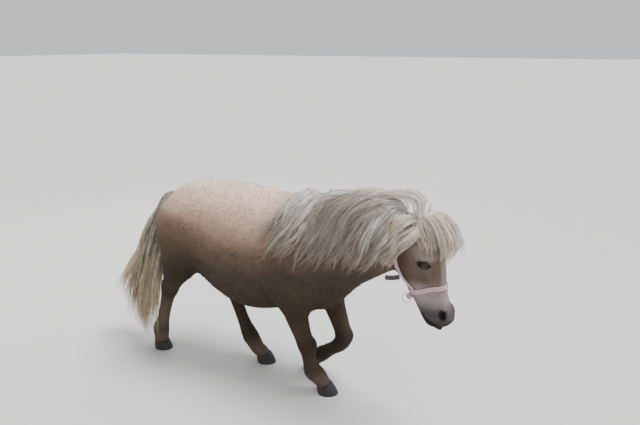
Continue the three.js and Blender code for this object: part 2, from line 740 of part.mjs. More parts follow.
// The round ring hangs on the middle of the chin strap, square to it.
const ringHanger = straps.halter_chin_strap.points[7];
const ringDown = straps.halter_chin_strap.normals[7];
const leadRingCenter = ringHanger.clone().addScaledVector(ringDown, ringDrop);

function roundRingSolid() {
  return toSolid(new THREE.TorusGeometry(leadRing, ringWire / 2, 8, 24));
}

// A turn that brings z onto the normal and y close to the given way up.
function facing(normal, up) {
  const z = normal.clone();
  const y = up.clone().addScaledVector(z, -up.dot(z)).normalize();
  return new THREE.Matrix4().makeBasis(new THREE.Vector3().crossVectors(y, z), y, z);
}

// Tail, blown back.
const tailLine = [
  v3(-486, 0, 836), v3(-538, 0, 846), v3(-590, 2, 804), v3(-640, 4, 720), v3(-684, 6, 620),
  v3(-734, 8, 500), v3(-796, 8, 370), v3(-858, 8, 240), v3(-906, 8, 120), v3(-930, 8, 40),
];
const tailCurve = new THREE.CatmullRomCurve3(tailLine, false, 'centripetal');
const tailBulk = [
  { t: 0, deep: 24, side: 26 }, { t: 0.08, deep: 30, side: 32 }, { t: 0.2, deep: 36, side: 40 },
  { t: 0.35, deep: 44, side: 46 }, { t: 0.55, deep: 40, side: 40 }, { t: 0.8, deep: 26, side: 26 },
  { t: 1, deep: 4, side: 4 },
];

function tailForm(reach, bulk = 1) {
  const rings = tailBulk.map((s, i) => {
    const t = s.t * reach;
    const p = tailCurve.getPointAt(t);
    const along = tailCurve.getTangentAt(t);
    const across = v3(0, 1, 0);
    const ahead = new THREE.Vector3().crossVectors(across, along).normalize();
    const swell = i < 2 ? 1 : bulk;
    const ring = [];
    for (let k = 0; k < 12; k += 1) {
      const a = (2 * Math.PI * k) / 12;
      ring.push(p.clone().addScaledVector(ahead, s.deep * swell * Math.cos(a))
        .addScaledVector(across, s.side * swell * Math.sin(a)));
    }
    return ring;
  });
  return toSolid(ringSkin(rings));
}

const grown = (point, table, steps, sides, where) => toSolid(
  formSkin((t, a) => point(t, a, gap + 0.2), table.length - 1, steps, sides, where));
const torsoGrown = grown(torsoPoint, torsoTable, 22, 24);
const neckGrown = grown(neckPoint, neckTable, 12, 20);
const headGrown = grown(headPoint, headTable, 24, 20, fromHead);

// Plain forms of the long hair.
function plainPad(points, width) {
  return toSolid(strip(points, points.map((p) => outward(p)), width, 34));
}

// Materials

const finish = (color, roughness, metalness = 0) => new THREE.MeshStandardMaterial({
  color, roughness, metalness, flatShading: true,
});
const coat = (color) => finish(color, 0.85);

const pony = new THREE.Group();
const stage = new THREE.Group();
pony.add(stage);

function place(name, solid, material) {
  const mesh = new THREE.Mesh(toGeometry(solid), material);
  mesh.name = name;
  stage.add(mesh);
  return mesh;
}

place('torso', torsoCore(), coat('#a98462'));

const headSolid = headShape();
const forelockPad = plainPad([v3(-30, 0, 130), v3(10, 0, 158), v3(70, 10, 120), v3(100, 20, 60),
  v3(92, 20, 10)].map(fromHead), 70);
const earRoom = union(Object.values(ears).map((ear) => earLeaf(ear, 1)));
const strapRoom = union(Object.values(straps).map((path) => strapSolid(path, 1.2)));
place('head', largest(headSolid.add(forelockPad.subtract(strapRoom)).subtract(earRoom)), coat('#cdb59a'));
const manePad = plainPad([v3(640, -70, 940), v3(560, -130, 960), v3(450, -170, 860),
  v3(400, -190, 740), v3(350, -206, 650)], 150);
const maneClear = manePad.subtract(headGrown).subtract(strapRoom).subtract(earRoom);
place('neck', largest(neckCore().add(maneClear).subtract(torsoGrown)), coat('#d9ccb6'));
place('tail', largest(tailForm(1).subtract(torsoGrown)), coat('#b8a78c'));
Object.entries(ears).forEach(([side, ear]) => {
  place(`ear_${side}`, earSolid(ear), coat('#c8b294'));
});
[-1, 1].forEach((side) => {
  const eye = place(side < 0 ? 'eye_right' : 'eye_left', eyeGeometry(), finish('#1c1714', 0.15));
  eye.position.copy(fromHead(v3(eyePlace.x, side * eyePlace.y, eyePlace.z)));
});
Object.keys(legs).forEach((name) => {
  place(`leg_${name}`, limbCore(name), coat('#8f6f55'));
  place(`hoof_${name}`, hoofSolid(name), finish('#4d463f', 0.6));
});

const web = finish('#c9a3ab', 0.8);
const darkWeb = finish('#4a3f42', 0.8);
const metal = finish('#b9b9b4', 0.35, 0.9);
const ringRoom = union(sideRings.map(({ center, normal }) => {
  const room = new THREE.BoxGeometry(squareRing + 1, squareRing + 1, ringWire + 1);
  room.applyMatrix4(facing(normal, v3(0, 0, 1)).setPosition(center));
  return toSolid(room);
}));
Object.entries(straps).forEach(([name, path]) => {
  const laid = strapSolid(path).subtract(headGrown).subtract(neckGrown).subtract(ringRoom);
  place(name, largest(laid), name === 'halter_strap_end' ? darkWeb : web);
});
sideRings.forEach(({ side, center, normal }) => {
  const ring = place(side < 0 ? 'halter_ring_right' : 'halter_ring_left', squareRingSolid(), metal);
  ring.position.copy(center);
  ring.setRotationFromMatrix(facing(normal, v3(0, 0, 1)));
});
const ring = place('halter_lead_ring', roundRingSolid(), metal);
ring.position.copy(leadRingCenter);
ring.setRotationFromMatrix(facing(headWay(0, 1, 0), ringDown));

// The part's own origin is on the ground, in the middle of its box.
const box = new THREE.Box3().setFromObject(pony);
stage.position.set(-(box.min.x + box.max.x) / 2, -(box.min.y + box.max.y) / 2, -box.min.z);
pony.updateMatrixWorld(true);

export default pony;
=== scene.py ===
import math
import bpy
import bmesh
import numpy as np
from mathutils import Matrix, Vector


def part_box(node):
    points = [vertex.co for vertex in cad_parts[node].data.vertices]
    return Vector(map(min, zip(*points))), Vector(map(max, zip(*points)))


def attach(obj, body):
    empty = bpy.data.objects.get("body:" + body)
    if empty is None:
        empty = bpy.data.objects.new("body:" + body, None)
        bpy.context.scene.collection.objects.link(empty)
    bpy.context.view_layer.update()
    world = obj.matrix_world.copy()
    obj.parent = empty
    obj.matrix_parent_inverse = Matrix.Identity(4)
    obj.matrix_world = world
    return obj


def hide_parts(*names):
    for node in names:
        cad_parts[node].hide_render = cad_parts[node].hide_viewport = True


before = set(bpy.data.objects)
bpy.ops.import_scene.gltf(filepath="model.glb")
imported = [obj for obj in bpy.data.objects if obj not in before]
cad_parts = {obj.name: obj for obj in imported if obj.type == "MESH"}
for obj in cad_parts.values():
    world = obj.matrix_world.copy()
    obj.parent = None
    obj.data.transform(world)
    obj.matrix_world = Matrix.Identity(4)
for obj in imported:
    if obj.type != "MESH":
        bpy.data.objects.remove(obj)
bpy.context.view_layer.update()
dice = np.random.default_rng(4788)
fine = 1.0

# The pony's own frame: X to its front, Y to its left, the ground at 0. Metres from here on.
headPose = {"turn": -11.0, "tilt": -11.0, "eyeLevel": (0.862, -0.121, 0.756)}
eye = {"radius": 0.022, "place": (0.010, 0.057, 0.009), "long": 0.0195, "high": 0.0106, "tilt": 20.0}


def turned(axis, degrees):
    # rotation matrix about one axis, 0 for X, 1 for Y, 2 for Z
    a = math.radians(degrees)
    m = np.eye(3)
    i, j = [(1, 2), (2, 0), (0, 1)][axis]
    m[i, i] = m[j, j] = math.cos(a)
    m[i, j] = -math.sin(a)
    m[j, i] = math.sin(a)
    return m


headTurn = turned(2, headPose["turn"]) @ turned(1, headPose["tilt"])
eyeLevel = np.array(headPose["eyeLevel"])


def fromHead(p):
    return np.asarray(p, float) @ headTurn.T + eyeLevel


def headWay(v):
    return np.asarray(v, float) @ headTurn.T


def toHead(p):
    return (p - eyeLevel) @ headTurn


def middleOf(node):
    low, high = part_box(node)
    return (np.array(low) + np.array(high)) / 2


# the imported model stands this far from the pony's own frame
shift = middleOf("eye_right") - fromHead([eye["place"][0], -eye["place"][1], eye["place"][2]])

# The forms, from the same sections as the solids

torsoRows = np.array([   # x, top, low, half width, height of the widest place
    (-536, 770, 690, 40, 725), (-525, 822, 640, 88, 730), (-498, 868, 590, 134, 735),
    (-450, 912, 550, 176, 735), (-385, 940, 516, 202, 730), (-300, 953, 466, 212, 715),
    (-200, 955, 394, 217, 680), (-100, 952, 354, 224, 645), (0, 944, 346, 224, 640),
    (100, 932, 364, 212, 650), (190, 932, 384, 192, 660), (270, 940, 392, 172, 655),
    (340, 880, 402, 150, 630), (395, 760, 432, 118, 590), (428, 660, 480, 72, 565),
    (440, 610, 520, 34, 560)]) / 1000
neckRows = np.array([    # crest x, crest z, underside x, underside z, y, half width
    (215, 925, 385, 455, 0, 172), (310, 946, 452, 506, -4, 156), (400, 956, 520, 556, -16, 126),
    (490, 963, 584, 600, -36, 107), (575, 965, 640, 640, -60, 94), (655, 958, 688, 674, -86, 86),
    (725, 938, 735, 700, -106, 79), (785, 912, 790, 712, -116, 72)]) / 1000
headRows = np.array([    # height on the head, front, back, half width
    (154, -4, -42, 24), (146, 14, -64, 42), (126, 36, -92, 61), (95, 52, -113, 72),
    (55, 62, -129, 77), (10, 64, -138, 76), (-30, 62, -138, 71), (-70, 59, -124, 62),
    (-110, 58, -107, 55), (-150, 60, -92, 49), (-185, 66, -78, 47), (-215, 71, -67, 47),
    (-240, 65, -55, 43), (-258, 48, -40, 34), (-267, 28, -22, 20)]) / 1000
legRows = {              # x, y, z, half depth, half width
    "fore_right": np.array([
        (205, -108, 640, 100, 62), (222, -120, 545, 92, 62), (236, -124, 455, 74, 56),
        (256, -121, 375, 57, 48), (280, -117, 300, 44, 40), (295, -111, 252, 45, 42),
        (301, -106, 210, 37, 34), (305, -98, 165, 35, 31), (315, -84, 112, 45, 39),
        (336, -72, 84, 43, 39), (350, -64, 58, 37, 37)]) / 1000,
    "fore_left": np.array([
        (240, 100, 640, 100, 62), (268, 108, 545, 92, 62), (300, 104, 452, 74, 56),
        (340, 96, 372, 57, 48), (376, 90, 285, 44, 40), (392, 88, 226, 44, 41),
        (370, 88, 182, 39, 35), (322, 89, 144, 33, 30), (272, 90, 106, 40, 36),
        (250, 90, 84, 36, 35), (236, 90, 72, 35, 36)]) / 1000,
    "hind_right": np.array([
        (-350, -122, 800, 140, 70), (-362, -138, 715, 142, 84), (-374, -144, 630, 130, 84),
        (-400, -138, 555, 108, 72), (-440, -126, 490, 80, 56), (-474, -116, 430, 58, 44),
        (-502, -109, 378, 52, 39), (-526, -102, 325, 38, 34), (-557, -91, 250, 33, 30),
        (-586, -79, 180, 35, 31), (-613, -68, 124, 44, 39), (-621, -62, 86, 42, 38),
        (-622, -59, 58, 37, 37)]) / 1000,
    "hind_left": np.array([
        (-330, 122, 800, 140, 70), (-312, 138, 715, 142, 84), (-290, 144, 630, 132, 84),
        (-272, 138, 555, 110, 72), (-264, 124, 490, 80, 56), (-268, 112, 425, 58, 44),
        (-266, 104, 368, 52, 39), (-242, 97, 314, 38, 34), (-209, 88, 246, 33, 30),
        (-174, 79, 180, 35, 31), (-139, 72, 126, 44, 39), (-112, 69, 90, 42, 38),
        (-88, 67, 60, 37, 37)]) / 1000}


def curveAt(rows, place):
    # Catmull-Rom curve through the rows
    last = len(rows) - 1
    i = np.clip(np.floor(place).astype(int), 0, last - 1)
    t = np.clip(place - i, 0, 1)[..., None]
    a, b, c, d = (rows[np.clip(i + k, 0, last)] for k in (-1, 0, 1, 2))
    return 0.5 * (2 * b + (c - a) * t + (2 * a - 5 * b + 4 * c - d) * t ** 2
                  + (3 * b - a - 3 * c + d) * t ** 3)


def dense(rows, per=12):
    places = np.linspace(0, len(rows) - 1, (len(rows) - 1) * per + 1)
    return places, curveAt(rows, places)


def power(v, p):
    return np.sign(v) * np.abs(v) ** p


def lerp(a, b, t):
    return a + (b - a) * t


def smooth(v, low, high):
    t = np.clip((v - low) / (high - low), 0, 1)
    return t * t * (3 - 2 * t)


def unit(v):
    return v / np.maximum(np.linalg.norm(v, axis=-1, keepdims=True), 1e-9)


def standOff(across, rise, half, reach, pa, pr):
    # distance from a rounded section, near the surface
    half = np.maximum(half, 0.004)
    reach = np.maximum(reach, 0.004)
    ratio = ((np.abs(across) / half) ** (2 / pa) + (np.abs(rise) / reach) ** (2 / pr)) ** ((pa + pr) / 4)
    ratio = np.maximum(ratio, 0.05)
    return np.hypot(across, rise) * (1 - 1 / ratio)


def capped(d, beyond):
    return np.where(beyond > 0, np.hypot(np.maximum(d, 0), beyond) + np.minimum(d, 0), d)


torsoPlaces, torsoDense = dense(torsoRows)
headPlaces, headDense = dense(headRows)
neckPlaces, neckDense = dense(neckRows, 24)


def torsoPoint(place, angle, grow=0.0):
    # a section across X: half width times cosine, height times sine, squared up a little
    s = curveAt(torsoRows, place)
    c, n = np.cos(angle), np.sin(angle)
    up = n > 0
    rise = np.where(up, s[..., 1] - s[..., 4], s[..., 4] - s[..., 2])
    p = np.where(up, 0.86, 0.94)
    return np.stack([s[..., 0], (s[..., 3] + grow) * power(c, p), s[..., 4] + (rise + grow) * power(n, p)], -1)


def neckPoint(place, angle, grow=0.0):
    # a section from the crest to the underside, narrower at the crest
    s = curveAt(neckRows, place)
    turn = np.radians(headPose["turn"] * np.clip(place / 6, 0, 1))
    c, n = np.cos(angle), np.sin(angle)
    along = 0.5 + 0.5 * power(n, 0.92)
    wide = (s[..., 5] + grow) * power(c, 0.92) * (1 - 0.3 * np.maximum(n, 0) ** 1.5)
    up = unit(np.stack([s[..., 0] - s[..., 2], 0 * n, s[..., 1] - s[..., 3]], -1))
    p = np.stack([lerp(s[..., 2], s[..., 0], along), s[..., 4] + 0 * n, lerp(s[..., 3], s[..., 1], along)], -1)
    p = p + up * (grow * n)[..., None]
    return p + np.stack([-np.sin(turn) * wide, np.cos(turn) * wide, 0 * wide], -1)


def headPoint(place, angle, grow=0.0):
    # a section across the head's own length, in the head's frame
    s = curveAt(headRows, place)
    c, n = np.cos(angle), np.sin(angle)
    middle = lerp(s[..., 2], s[..., 1], 0.42)
    reach = np.where(n > 0, s[..., 1] - middle, middle - s[..., 2])
    slim = 1 - 0.14 * np.maximum(n, 0) ** 2 - 0.1 * np.maximum(-n, 0) ** 2
    return np.stack([middle + (reach + grow) * power(n, 0.9), (s[..., 3] + grow) * power(c, 0.84) * slim,
                     s[..., 0]], -1)


def torsoField(p):
    place = np.interp(p[:, 0], torsoDense[:, 0], torsoPlaces)
    s = curveAt(torsoRows, place)
    rise = p[:, 2] - s[:, 4]
    reach = np.where(rise > 0, s[:, 1] - s[:, 4], s[:, 4] - s[:, 2])
    pw = np.where(rise > 0, 0.86, 0.94)
    d = standOff(p[:, 1], rise, s[:, 3], reach, pw, pw)
    beyond = np.abs(p[:, 0] - np.clip(p[:, 0], torsoRows[0, 0], torsoRows[-1, 0]))
    return capped(d, beyond), place, np.arctan2(rise / np.maximum(reach, 1e-3), p[:, 1] / np.maximum(s[:, 3], 1e-3))


def neckField(p):
    low = np.zeros(len(p), int)
    high = np.full(len(p), len(neckDense) - 1)
    for _ in range(8):      # the section that the point lies on, by halving
        mid = (low + high) // 2
        s = neckDense[mid]
        ahead = (p[:, 0] - s[:, 2]) * (s[:, 1] - s[:, 3]) - (p[:, 2] - s[:, 3]) * (s[:, 0] - s[:, 2])
        low = np.where(ahead > 0, mid, low)
        high = np.where(ahead > 0, high, mid)
    sa, sb = neckDense[low], neckDense[np.minimum(low + 1, len(neckDense) - 1)]

    def side(s):
        return (p[:, 0] - s[:, 2]) * (s[:, 1] - s[:, 3]) - (p[:, 2] - s[:, 3]) * (s[:, 0] - s[:, 2])
    fa, fb = side(sa), side(sb)
    t = np.clip(fa / np.where(np.abs(fa - fb) < 1e-12, 1, fa - fb), 0, 1)[:, None]
    s = sa + (sb - sa) * t
    place = neckPlaces[low] + t[:, 0] * (neckPlaces[1] - neckPlaces[0])
    up = np.stack([s[:, 0] - s[:, 2], s[:, 1] - s[:, 3]], 1)
    reach = np.linalg.norm(up, axis=1) / 2
    up = up / (2 * reach[:, None])
    off = p[:, [0, 2]] - np.stack([(s[:, 0] + s[:, 2]) / 2, (s[:, 1] + s[:, 3]) / 2], 1)
    rise = (off * up).sum(1)
    across = p[:, 1] - s[:, 4]
    narrow = 1 - 0.3 * np.clip(rise / reach, 0, 1) ** 1.5
    d = standOff(across, rise, s[:, 5] * narrow, reach, 0.92, 0.92)
    beyond = np.maximum(np.linalg.norm(off - up * rise[:, None], axis=1) - 0.004, 0)
    return capped(d, beyond), place, np.arctan2(rise / reach, across / (s[:, 5] * narrow))


def headField(world):
    p = toHead(world)
    place = np.interp(-p[:, 2], -headDense[:, 0], headPlaces)
    s = curveAt(headRows, place)
    middle = lerp(s[:, 2], s[:, 1], 0.42)
    rise = p[:, 0] - middle
    reach = np.where(rise > 0, s[:, 1] - middle, middle - s[:, 2])
    n = np.clip(rise / np.maximum(reach, 1e-3), -1, 1)
    slim = 1 - 0.14 * np.maximum(n, 0) ** 2 - 0.1 * np.maximum(-n, 0) ** 2
    d = standOff(p[:, 1], rise, s[:, 3] * slim, reach, 0.84, 0.9)
    beyond = np.abs(p[:, 2] - np.clip(p[:, 2], headRows[-1, 0], headRows[0, 0]))
    return capped(d, beyond), place, np.arctan2(n, p[:, 1] / np.maximum(s[:, 3], 1e-3))


# every leg ends inside the coronet of its hoof
crownMiddle = np.array([-0.014, 0.0, 0.041])
hooves = {      # x, y, turn and tip of each
    "fore_right": (0.374, -0.058, 9.0, 0.0), "fore_left": (0.238, 0.090, 0.0, 52.0),
    "hind_right": (-0.620, -0.058, -3.0, 0.0), "hind_left": (-0.042, 0.066, 2.0, 0.0),
}


def hoofPlace(name, local):
    x, y, turn, tip = hooves[name]
    if tip:
        local = (local - np.array([0.056, 0, 0])) @ turned(1, tip).T + (0, 0, -0.005)
    return local @ turned(2, turn).T + (x, y, 0)


for legName in legRows:
    ends = [[*hoofPlace(legName, crownMiddle + np.array([-0.002, 0, 0.004])), 0.0355, 0.0365],
            [*hoofPlace(legName, crownMiddle - np.array([-0.002, 0, 0.010])), 0.030, 0.031]]
    legRows[legName] = np.vstack([legRows[legName], ends])
legDense = {name: dense(rows, 3)[1] for name, rows in legRows.items()}


legParts = {}
for legName, rows in legDense.items():
    a, b = rows[:-1], rows[1:]
    size = np.linalg.norm(b[:, :3] - a[:, :3], axis=1)
    along = (b - a)[:, :3] / size[:, None]
    across = unit(np.array([0, 1, 0]) - along * along[:, 1:2])
    legParts[legName] = (a, b - a, size, along, across, np.cross(across, along))


def legField(name, p):
    # nearest of the leg's short pieces, each an oval tube between two stations
    a, change, size, along, across, ahead = legParts[name]
    far, v, u = (p @ axis.T - (a[:, :3] * axis).sum(1) for axis in (along, across, ahead))
    t = np.clip(far / size, 0, 1)
    w = far - t * size
    deep, wide = a[:, 3] + change[:, 3] * t, a[:, 4] + change[:, 4] * t
    ratio = np.maximum(np.hypot(u / deep, v / wide), 0.05)
    d = np.hypot(u, v) * (1 - 1 / ratio)
    d = np.hypot(np.maximum(d, 0), w) + np.minimum(d, 0)
    i = d.argmin(1)
    n = np.arange(len(p))
    return d[n, i], (i + t[n, i]) / len(size), np.arctan2(-u[n, i], v[n, i])


def blend(a, b, k):
    # the lesser of two distances, rounded where they meet
    h = np.maximum(k - np.abs(a - b), 0) / k
    return np.minimum(a, b) - h * h * k / 4


def hollow(a, b, k):
    # a with b taken away, rounded where they meet
    return -blend(-a, b, k)


def lump(p, center, radii, turn=None):
    # distance from an ellipsoid, near its surface
    q = p - np.array(center)
    if turn is not None:
        q = q @ turn
    r = np.array(radii)
    k0 = np.linalg.norm(q / r, axis=1)
    k1 = np.linalg.norm(q / (r * r), axis=1)
    return k0 * (k0 - 1) / np.maximum(k1, 1e-6)


bodyLumps = [      # centre, radii, roundness: muscles and joints that the sections leave plain
    ((-0.385, -0.120, 0.715), (0.145, 0.092, 0.150), 0.05),     # right haunch
    ((-0.345, 0.120, 0.715), (0.145, 0.092, 0.150), 0.05),
    ((0.235, -0.098, 0.640), (0.095, 0.082, 0.190), 0.06),      # right shoulder
    ((0.255, 0.098, 0.640), (0.095, 0.082, 0.190), 0.06),
    ((0.405, -0.060, 0.560), (0.060, 0.060, 0.085), 0.05),      # breast
    ((0.405, 0.060, 0.560), (0.060, 0.060, 0.085), 0.05),
    ((-0.535, -0.108, 0.398), (0.018, 0.016, 0.034), 0.02),     # points of the hocks
    ((-0.304, 0.106, 0.392), (0.018, 0.016, 0.034), 0.02),
    ((0.314, -0.110, 0.252), (0.030, 0.039, 0.034), 0.016),     # knees
    ((0.412, 0.088, 0.234), (0.027, 0.038, 0.032), 0.016),
]
headLumps = [      # in the head's frame, right side; the left one is the same
    ((0.006, 0.044, 0.022), (0.050, 0.030, 0.036), 0.020),      # brow over the eye
    ((-0.062, 0.040, -0.010), (0.062, 0.033, 0.064), 0.025),    # cheek
    ((0.016, 0.050, -0.046), (0.013, 0.011, 0.052), 0.018),     # ridge below the eye
    ((0.044, 0.026, -0.205), (0.025, 0.021, 0.034), 0.014),     # rim of the nostril
    ((0.030, 0.012, -0.234), (0.037, 0.030, 0.0255), 0.014),    # upper lip
    ((-0.016, 0.010, -0.243), (0.030, 0.022, 0.020), 0.010),    # lower lip and chin
]


def mirror(p):
    return p * np.array([1, -1, 1])


def near(p, low, high, room=0.05):
    return np.all((p > np.array(low) - room) & (p < np.array(high) + room), axis=1)


def bodyField(p):
    # torso, neck and legs flowed together
    d = torsoField(p)[0]
    pick = near(p, (0.18, -0.30, 0.42), (0.86, 0.22, 1.02), 0.08)
    d[pick] = blend(d[pick], neckField(p[pick])[0], 0.09)
    for name, rows in legRows.items():
        low = rows[:, :3].min(0) - 0.10
        high = rows[:, :3].max(0) + 0.10
        pick = near(p, low, high, 0.06)
        if not pick.any():
            continue
        high = 0.075 if name.startswith("fore") else 0.035
        k = np.where(p[pick][:, 2] > 0.40, high, 0.03)
        d[pick] = blend(d[pick], legField(name, p[pick])[0], k)
    for center, radii, k in bodyLumps:
        pick = near(p, np.array(center) - radii, np.array(center) + radii, 0.05)
        d[pick] = blend(d[pick], lump(p[pick], center, radii), k)
    return d


eyeTilt = turned(1, eye["tilt"])


def mouthLine(q):
    # how far a point lies across and along the line between the lips
    m = q - np.array([-0.014, 0, -0.238])
    along = m[:, 0] * 0.70 - m[:, 2] * 0.71
    return m[:, 0] * 0.71 + m[:, 2] * 0.70 - 0.0035 * np.sin(along * 60), along


def faceField(world):
    p = toHead(world)
    d = headField(world)[0]
    q = np.where(p[:, 1:2] < 0, mirror(p), p)           # both halves from one
    for center, radii, k in headLumps:
        d = blend(d, lump(q, center, radii), k)
    # hollow over the eye and flat of the cheek below it
    d = hollow(d, lump(q, (-0.030, 0.082, 0.052), (0.026, 0.012, 0.022)), 0.02)
    d = hollow(d, lump(q, (-0.014, 0.098, -0.040), (0.026, 0.030, 0.022)), 0.03)
    d = hollow(d, lump(q, (0.020, 0.088, -0.135), (0.040, 0.040, 0.060)), 0.04)
    # between the jaw bones
    d = hollow(d, lump(q, (-0.150, 0.0, -0.075), (0.036, 0.020, 0.090)), 0.02)
    # lids over the ball of the eye, and the opening between them
    center = np.array(eye["place"])
    e = (q - center) @ eyeTilt
    ball = np.linalg.norm(e, axis=1)
    d = blend(d, ball - eye["radius"] - 0.0036, 0.012)
    almond = np.hypot(e[:, 0] / eye["long"], e[:, 2] / np.where(e[:, 2] > 0, eye["high"], eye["high"] * 0.85)) - 1
    almond = np.where(e[:, 1] > 0, almond * 0.010, 0.02)
    d = hollow(d, almond, 0.0025)
    fold = np.hypot(e[:, 0] / 0.033, (e[:, 2] - 0.002) / 0.021) - 1       # crease of the upper lid
    d = d + 0.0016 * np.exp(-(fold / 0.09) ** 2) * (e[:, 2] > 0) * (e[:, 1] > 0)
    # nostril, a comma that runs up and back
    turn = turned(1, 24) @ turned(2, -30)
    d = hollow(d, lump(q, (0.047, 0.044, -0.207), (0.0105, 0.016, 0.0175), turn), 0.006)
    # line of the mouth
    across, along = mouthLine(q)
    line = np.exp(-(across / 0.0022) ** 2) * smooth(along, -0.044, -0.034)
    return d + 0.0050 * line


def skinField(p):
    d = bodyField(p)
    pick = near(p, (0.66, -0.26, 0.46), (0.99, 0.03, 0.98), 0.03)
    d[pick] = blend(d[pick], faceField(p[pick]), 0.035)
    return d


corners = np.array([(1, -1, -1), (-1, -1, 1), (-1, 1, -1), (1, 1, 1)], float)


def slope(field, p, step=0.002):
    # gradient from the corners of a small tetrahedron, in one call
    f = field((p[None] + step * corners[:, None]).reshape(-1, 3)).reshape(4, -1)
    return np.einsum("kn,kc->nc", f, corners) / (4 * step)


def settle(field, p, level, rounds=4, step=0.0015, limit=0.02):
    # moves points onto the surface that stands at a level off the field
    for _ in range(rounds):
        g = slope(field, p, step)
        miss = field(p) - level
        move = -miss[:, None] * g / np.maximum((g * g).sum(1, keepdims=True), 0.2)
        size = np.linalg.norm(move, axis=1, keepdims=True)
        p = p + move * np.minimum(1, limit / np.maximum(size, 1e-9))
    return p


# Mesh helpers. Points are in the pony's own frame until they are stored.

def meshFrom(name, verts, faces, smoothShade=True):
    # verts in the pony's frame, faces as arrays of equal-length rows
    mesh = bpy.data.meshes.new(name)
    faces = [f for f in (faces if isinstance(faces, list) else [faces]) if len(f)]
    loops = np.concatenate([f.ravel() for f in faces]).astype(np.int32)
    sizes = np.concatenate([np.full(len(f), f.shape[1]) for f in faces]).astype(np.int32)
    starts = np.concatenate([[0], np.cumsum(sizes)[:-1]]).astype(np.int32)
    mesh.vertices.add(len(verts))
    mesh.vertices.foreach_set("co", (np.asarray(verts) + shift).astype(np.float32).ravel())
    mesh.loops.add(len(loops))
    mesh.loops.foreach_set("vertex_index", loops)
    mesh.polygons.add(len(sizes))
    mesh.polygons.foreach_set("loop_start", starts)
    mesh.polygons.foreach_set("loop_total", sizes)
    mesh.polygons.foreach_set("use_smooth", np.full(len(sizes), smoothShade))
    mesh.update(calc_edges=True)
    mesh.validate()
    obj = bpy.data.objects.new(name, mesh)
    bpy.context.scene.collection.objects.link(obj)
    return obj


def pointsOf(obj):
    p = np.empty(len(obj.data.vertices) * 3, np.float32)
    obj.data.vertices.foreach_get("co", p)
    return p.reshape(-1, 3).astype(float) - shift


def setPoints(obj, p):
    obj.data.vertices.foreach_set("co", (p + shift).astype(np.float32).ravel())
    obj.data.update()


def tubeFaces(rows, cols):
    i, j = np.meshgrid(np.arange(rows - 1), np.arange(cols), indexing="ij")
    a = i * cols + j
    b = i * cols + (j + 1) % cols
    return np.stack([a, b, b + cols, a + cols], -1).reshape(-1, 4)


def closedTube(rings):
    # rings[row, column] of points, closed round and at both ends; returns verts and faces
    rows, cols = rings.shape[:2]
    verts = np.concatenate([rings.reshape(-1, 3), rings[0].mean(0)[None], rings[-1].mean(0)[None]])
    j = np.arange(cols)
    first = np.stack([np.full(cols, rows * cols), (j + 1) % cols, j], 1)
    end = (rows - 1) * cols
    last = np.stack([np.full(cols, rows * cols + 1), end + j, end + (j + 1) % cols], 1)
    return verts, tubeFaces(rows, cols), np.concatenate([first, last])


def joined(parts):
    verts, quads, tris, base = [], [], [], 0
    for v, q, t in parts:
        verts.append(v)
        quads.append(q + base)
        tris.append(t + base)
        base += len(v)
    return np.concatenate(verts), np.concatenate(quads), np.concatenate(tris)


def faceOut(obj):
    bm = bmesh.new()
    bm.from_mesh(obj.data)
    bmesh.ops.recalc_face_normals(bm, faces=bm.faces)
    bm.to_mesh(obj.data)
    bm.free()


def uvMap(obj, name, uv):
    # a UV map from one place for each vertex
    layer = obj.data.uv_layers.new(name=name)
    index = np.empty(len(obj.data.loops), np.int32)
    obj.data.loops.foreach_get("vertex_index", index)
    layer.data.foreach_set("uv", uv[index].astype(np.float32).ravel())


def paint(obj, name, colors):
    # a colour for each vertex, read by the materials
    layer = obj.data.color_attributes.new(name, "FLOAT_COLOR", "POINT")
    full = np.concatenate([colors, np.ones((len(colors), 1))], 1).astype(np.float32)
    layer.data.foreach_set("color", full.ravel())


def give(obj, material, replaces=()):
    obj.data.materials.clear()
    obj.data.materials.append(material)
    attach(obj, "root")
    if replaces:
        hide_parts(*replaces)
    return obj


# Shader maths and materials

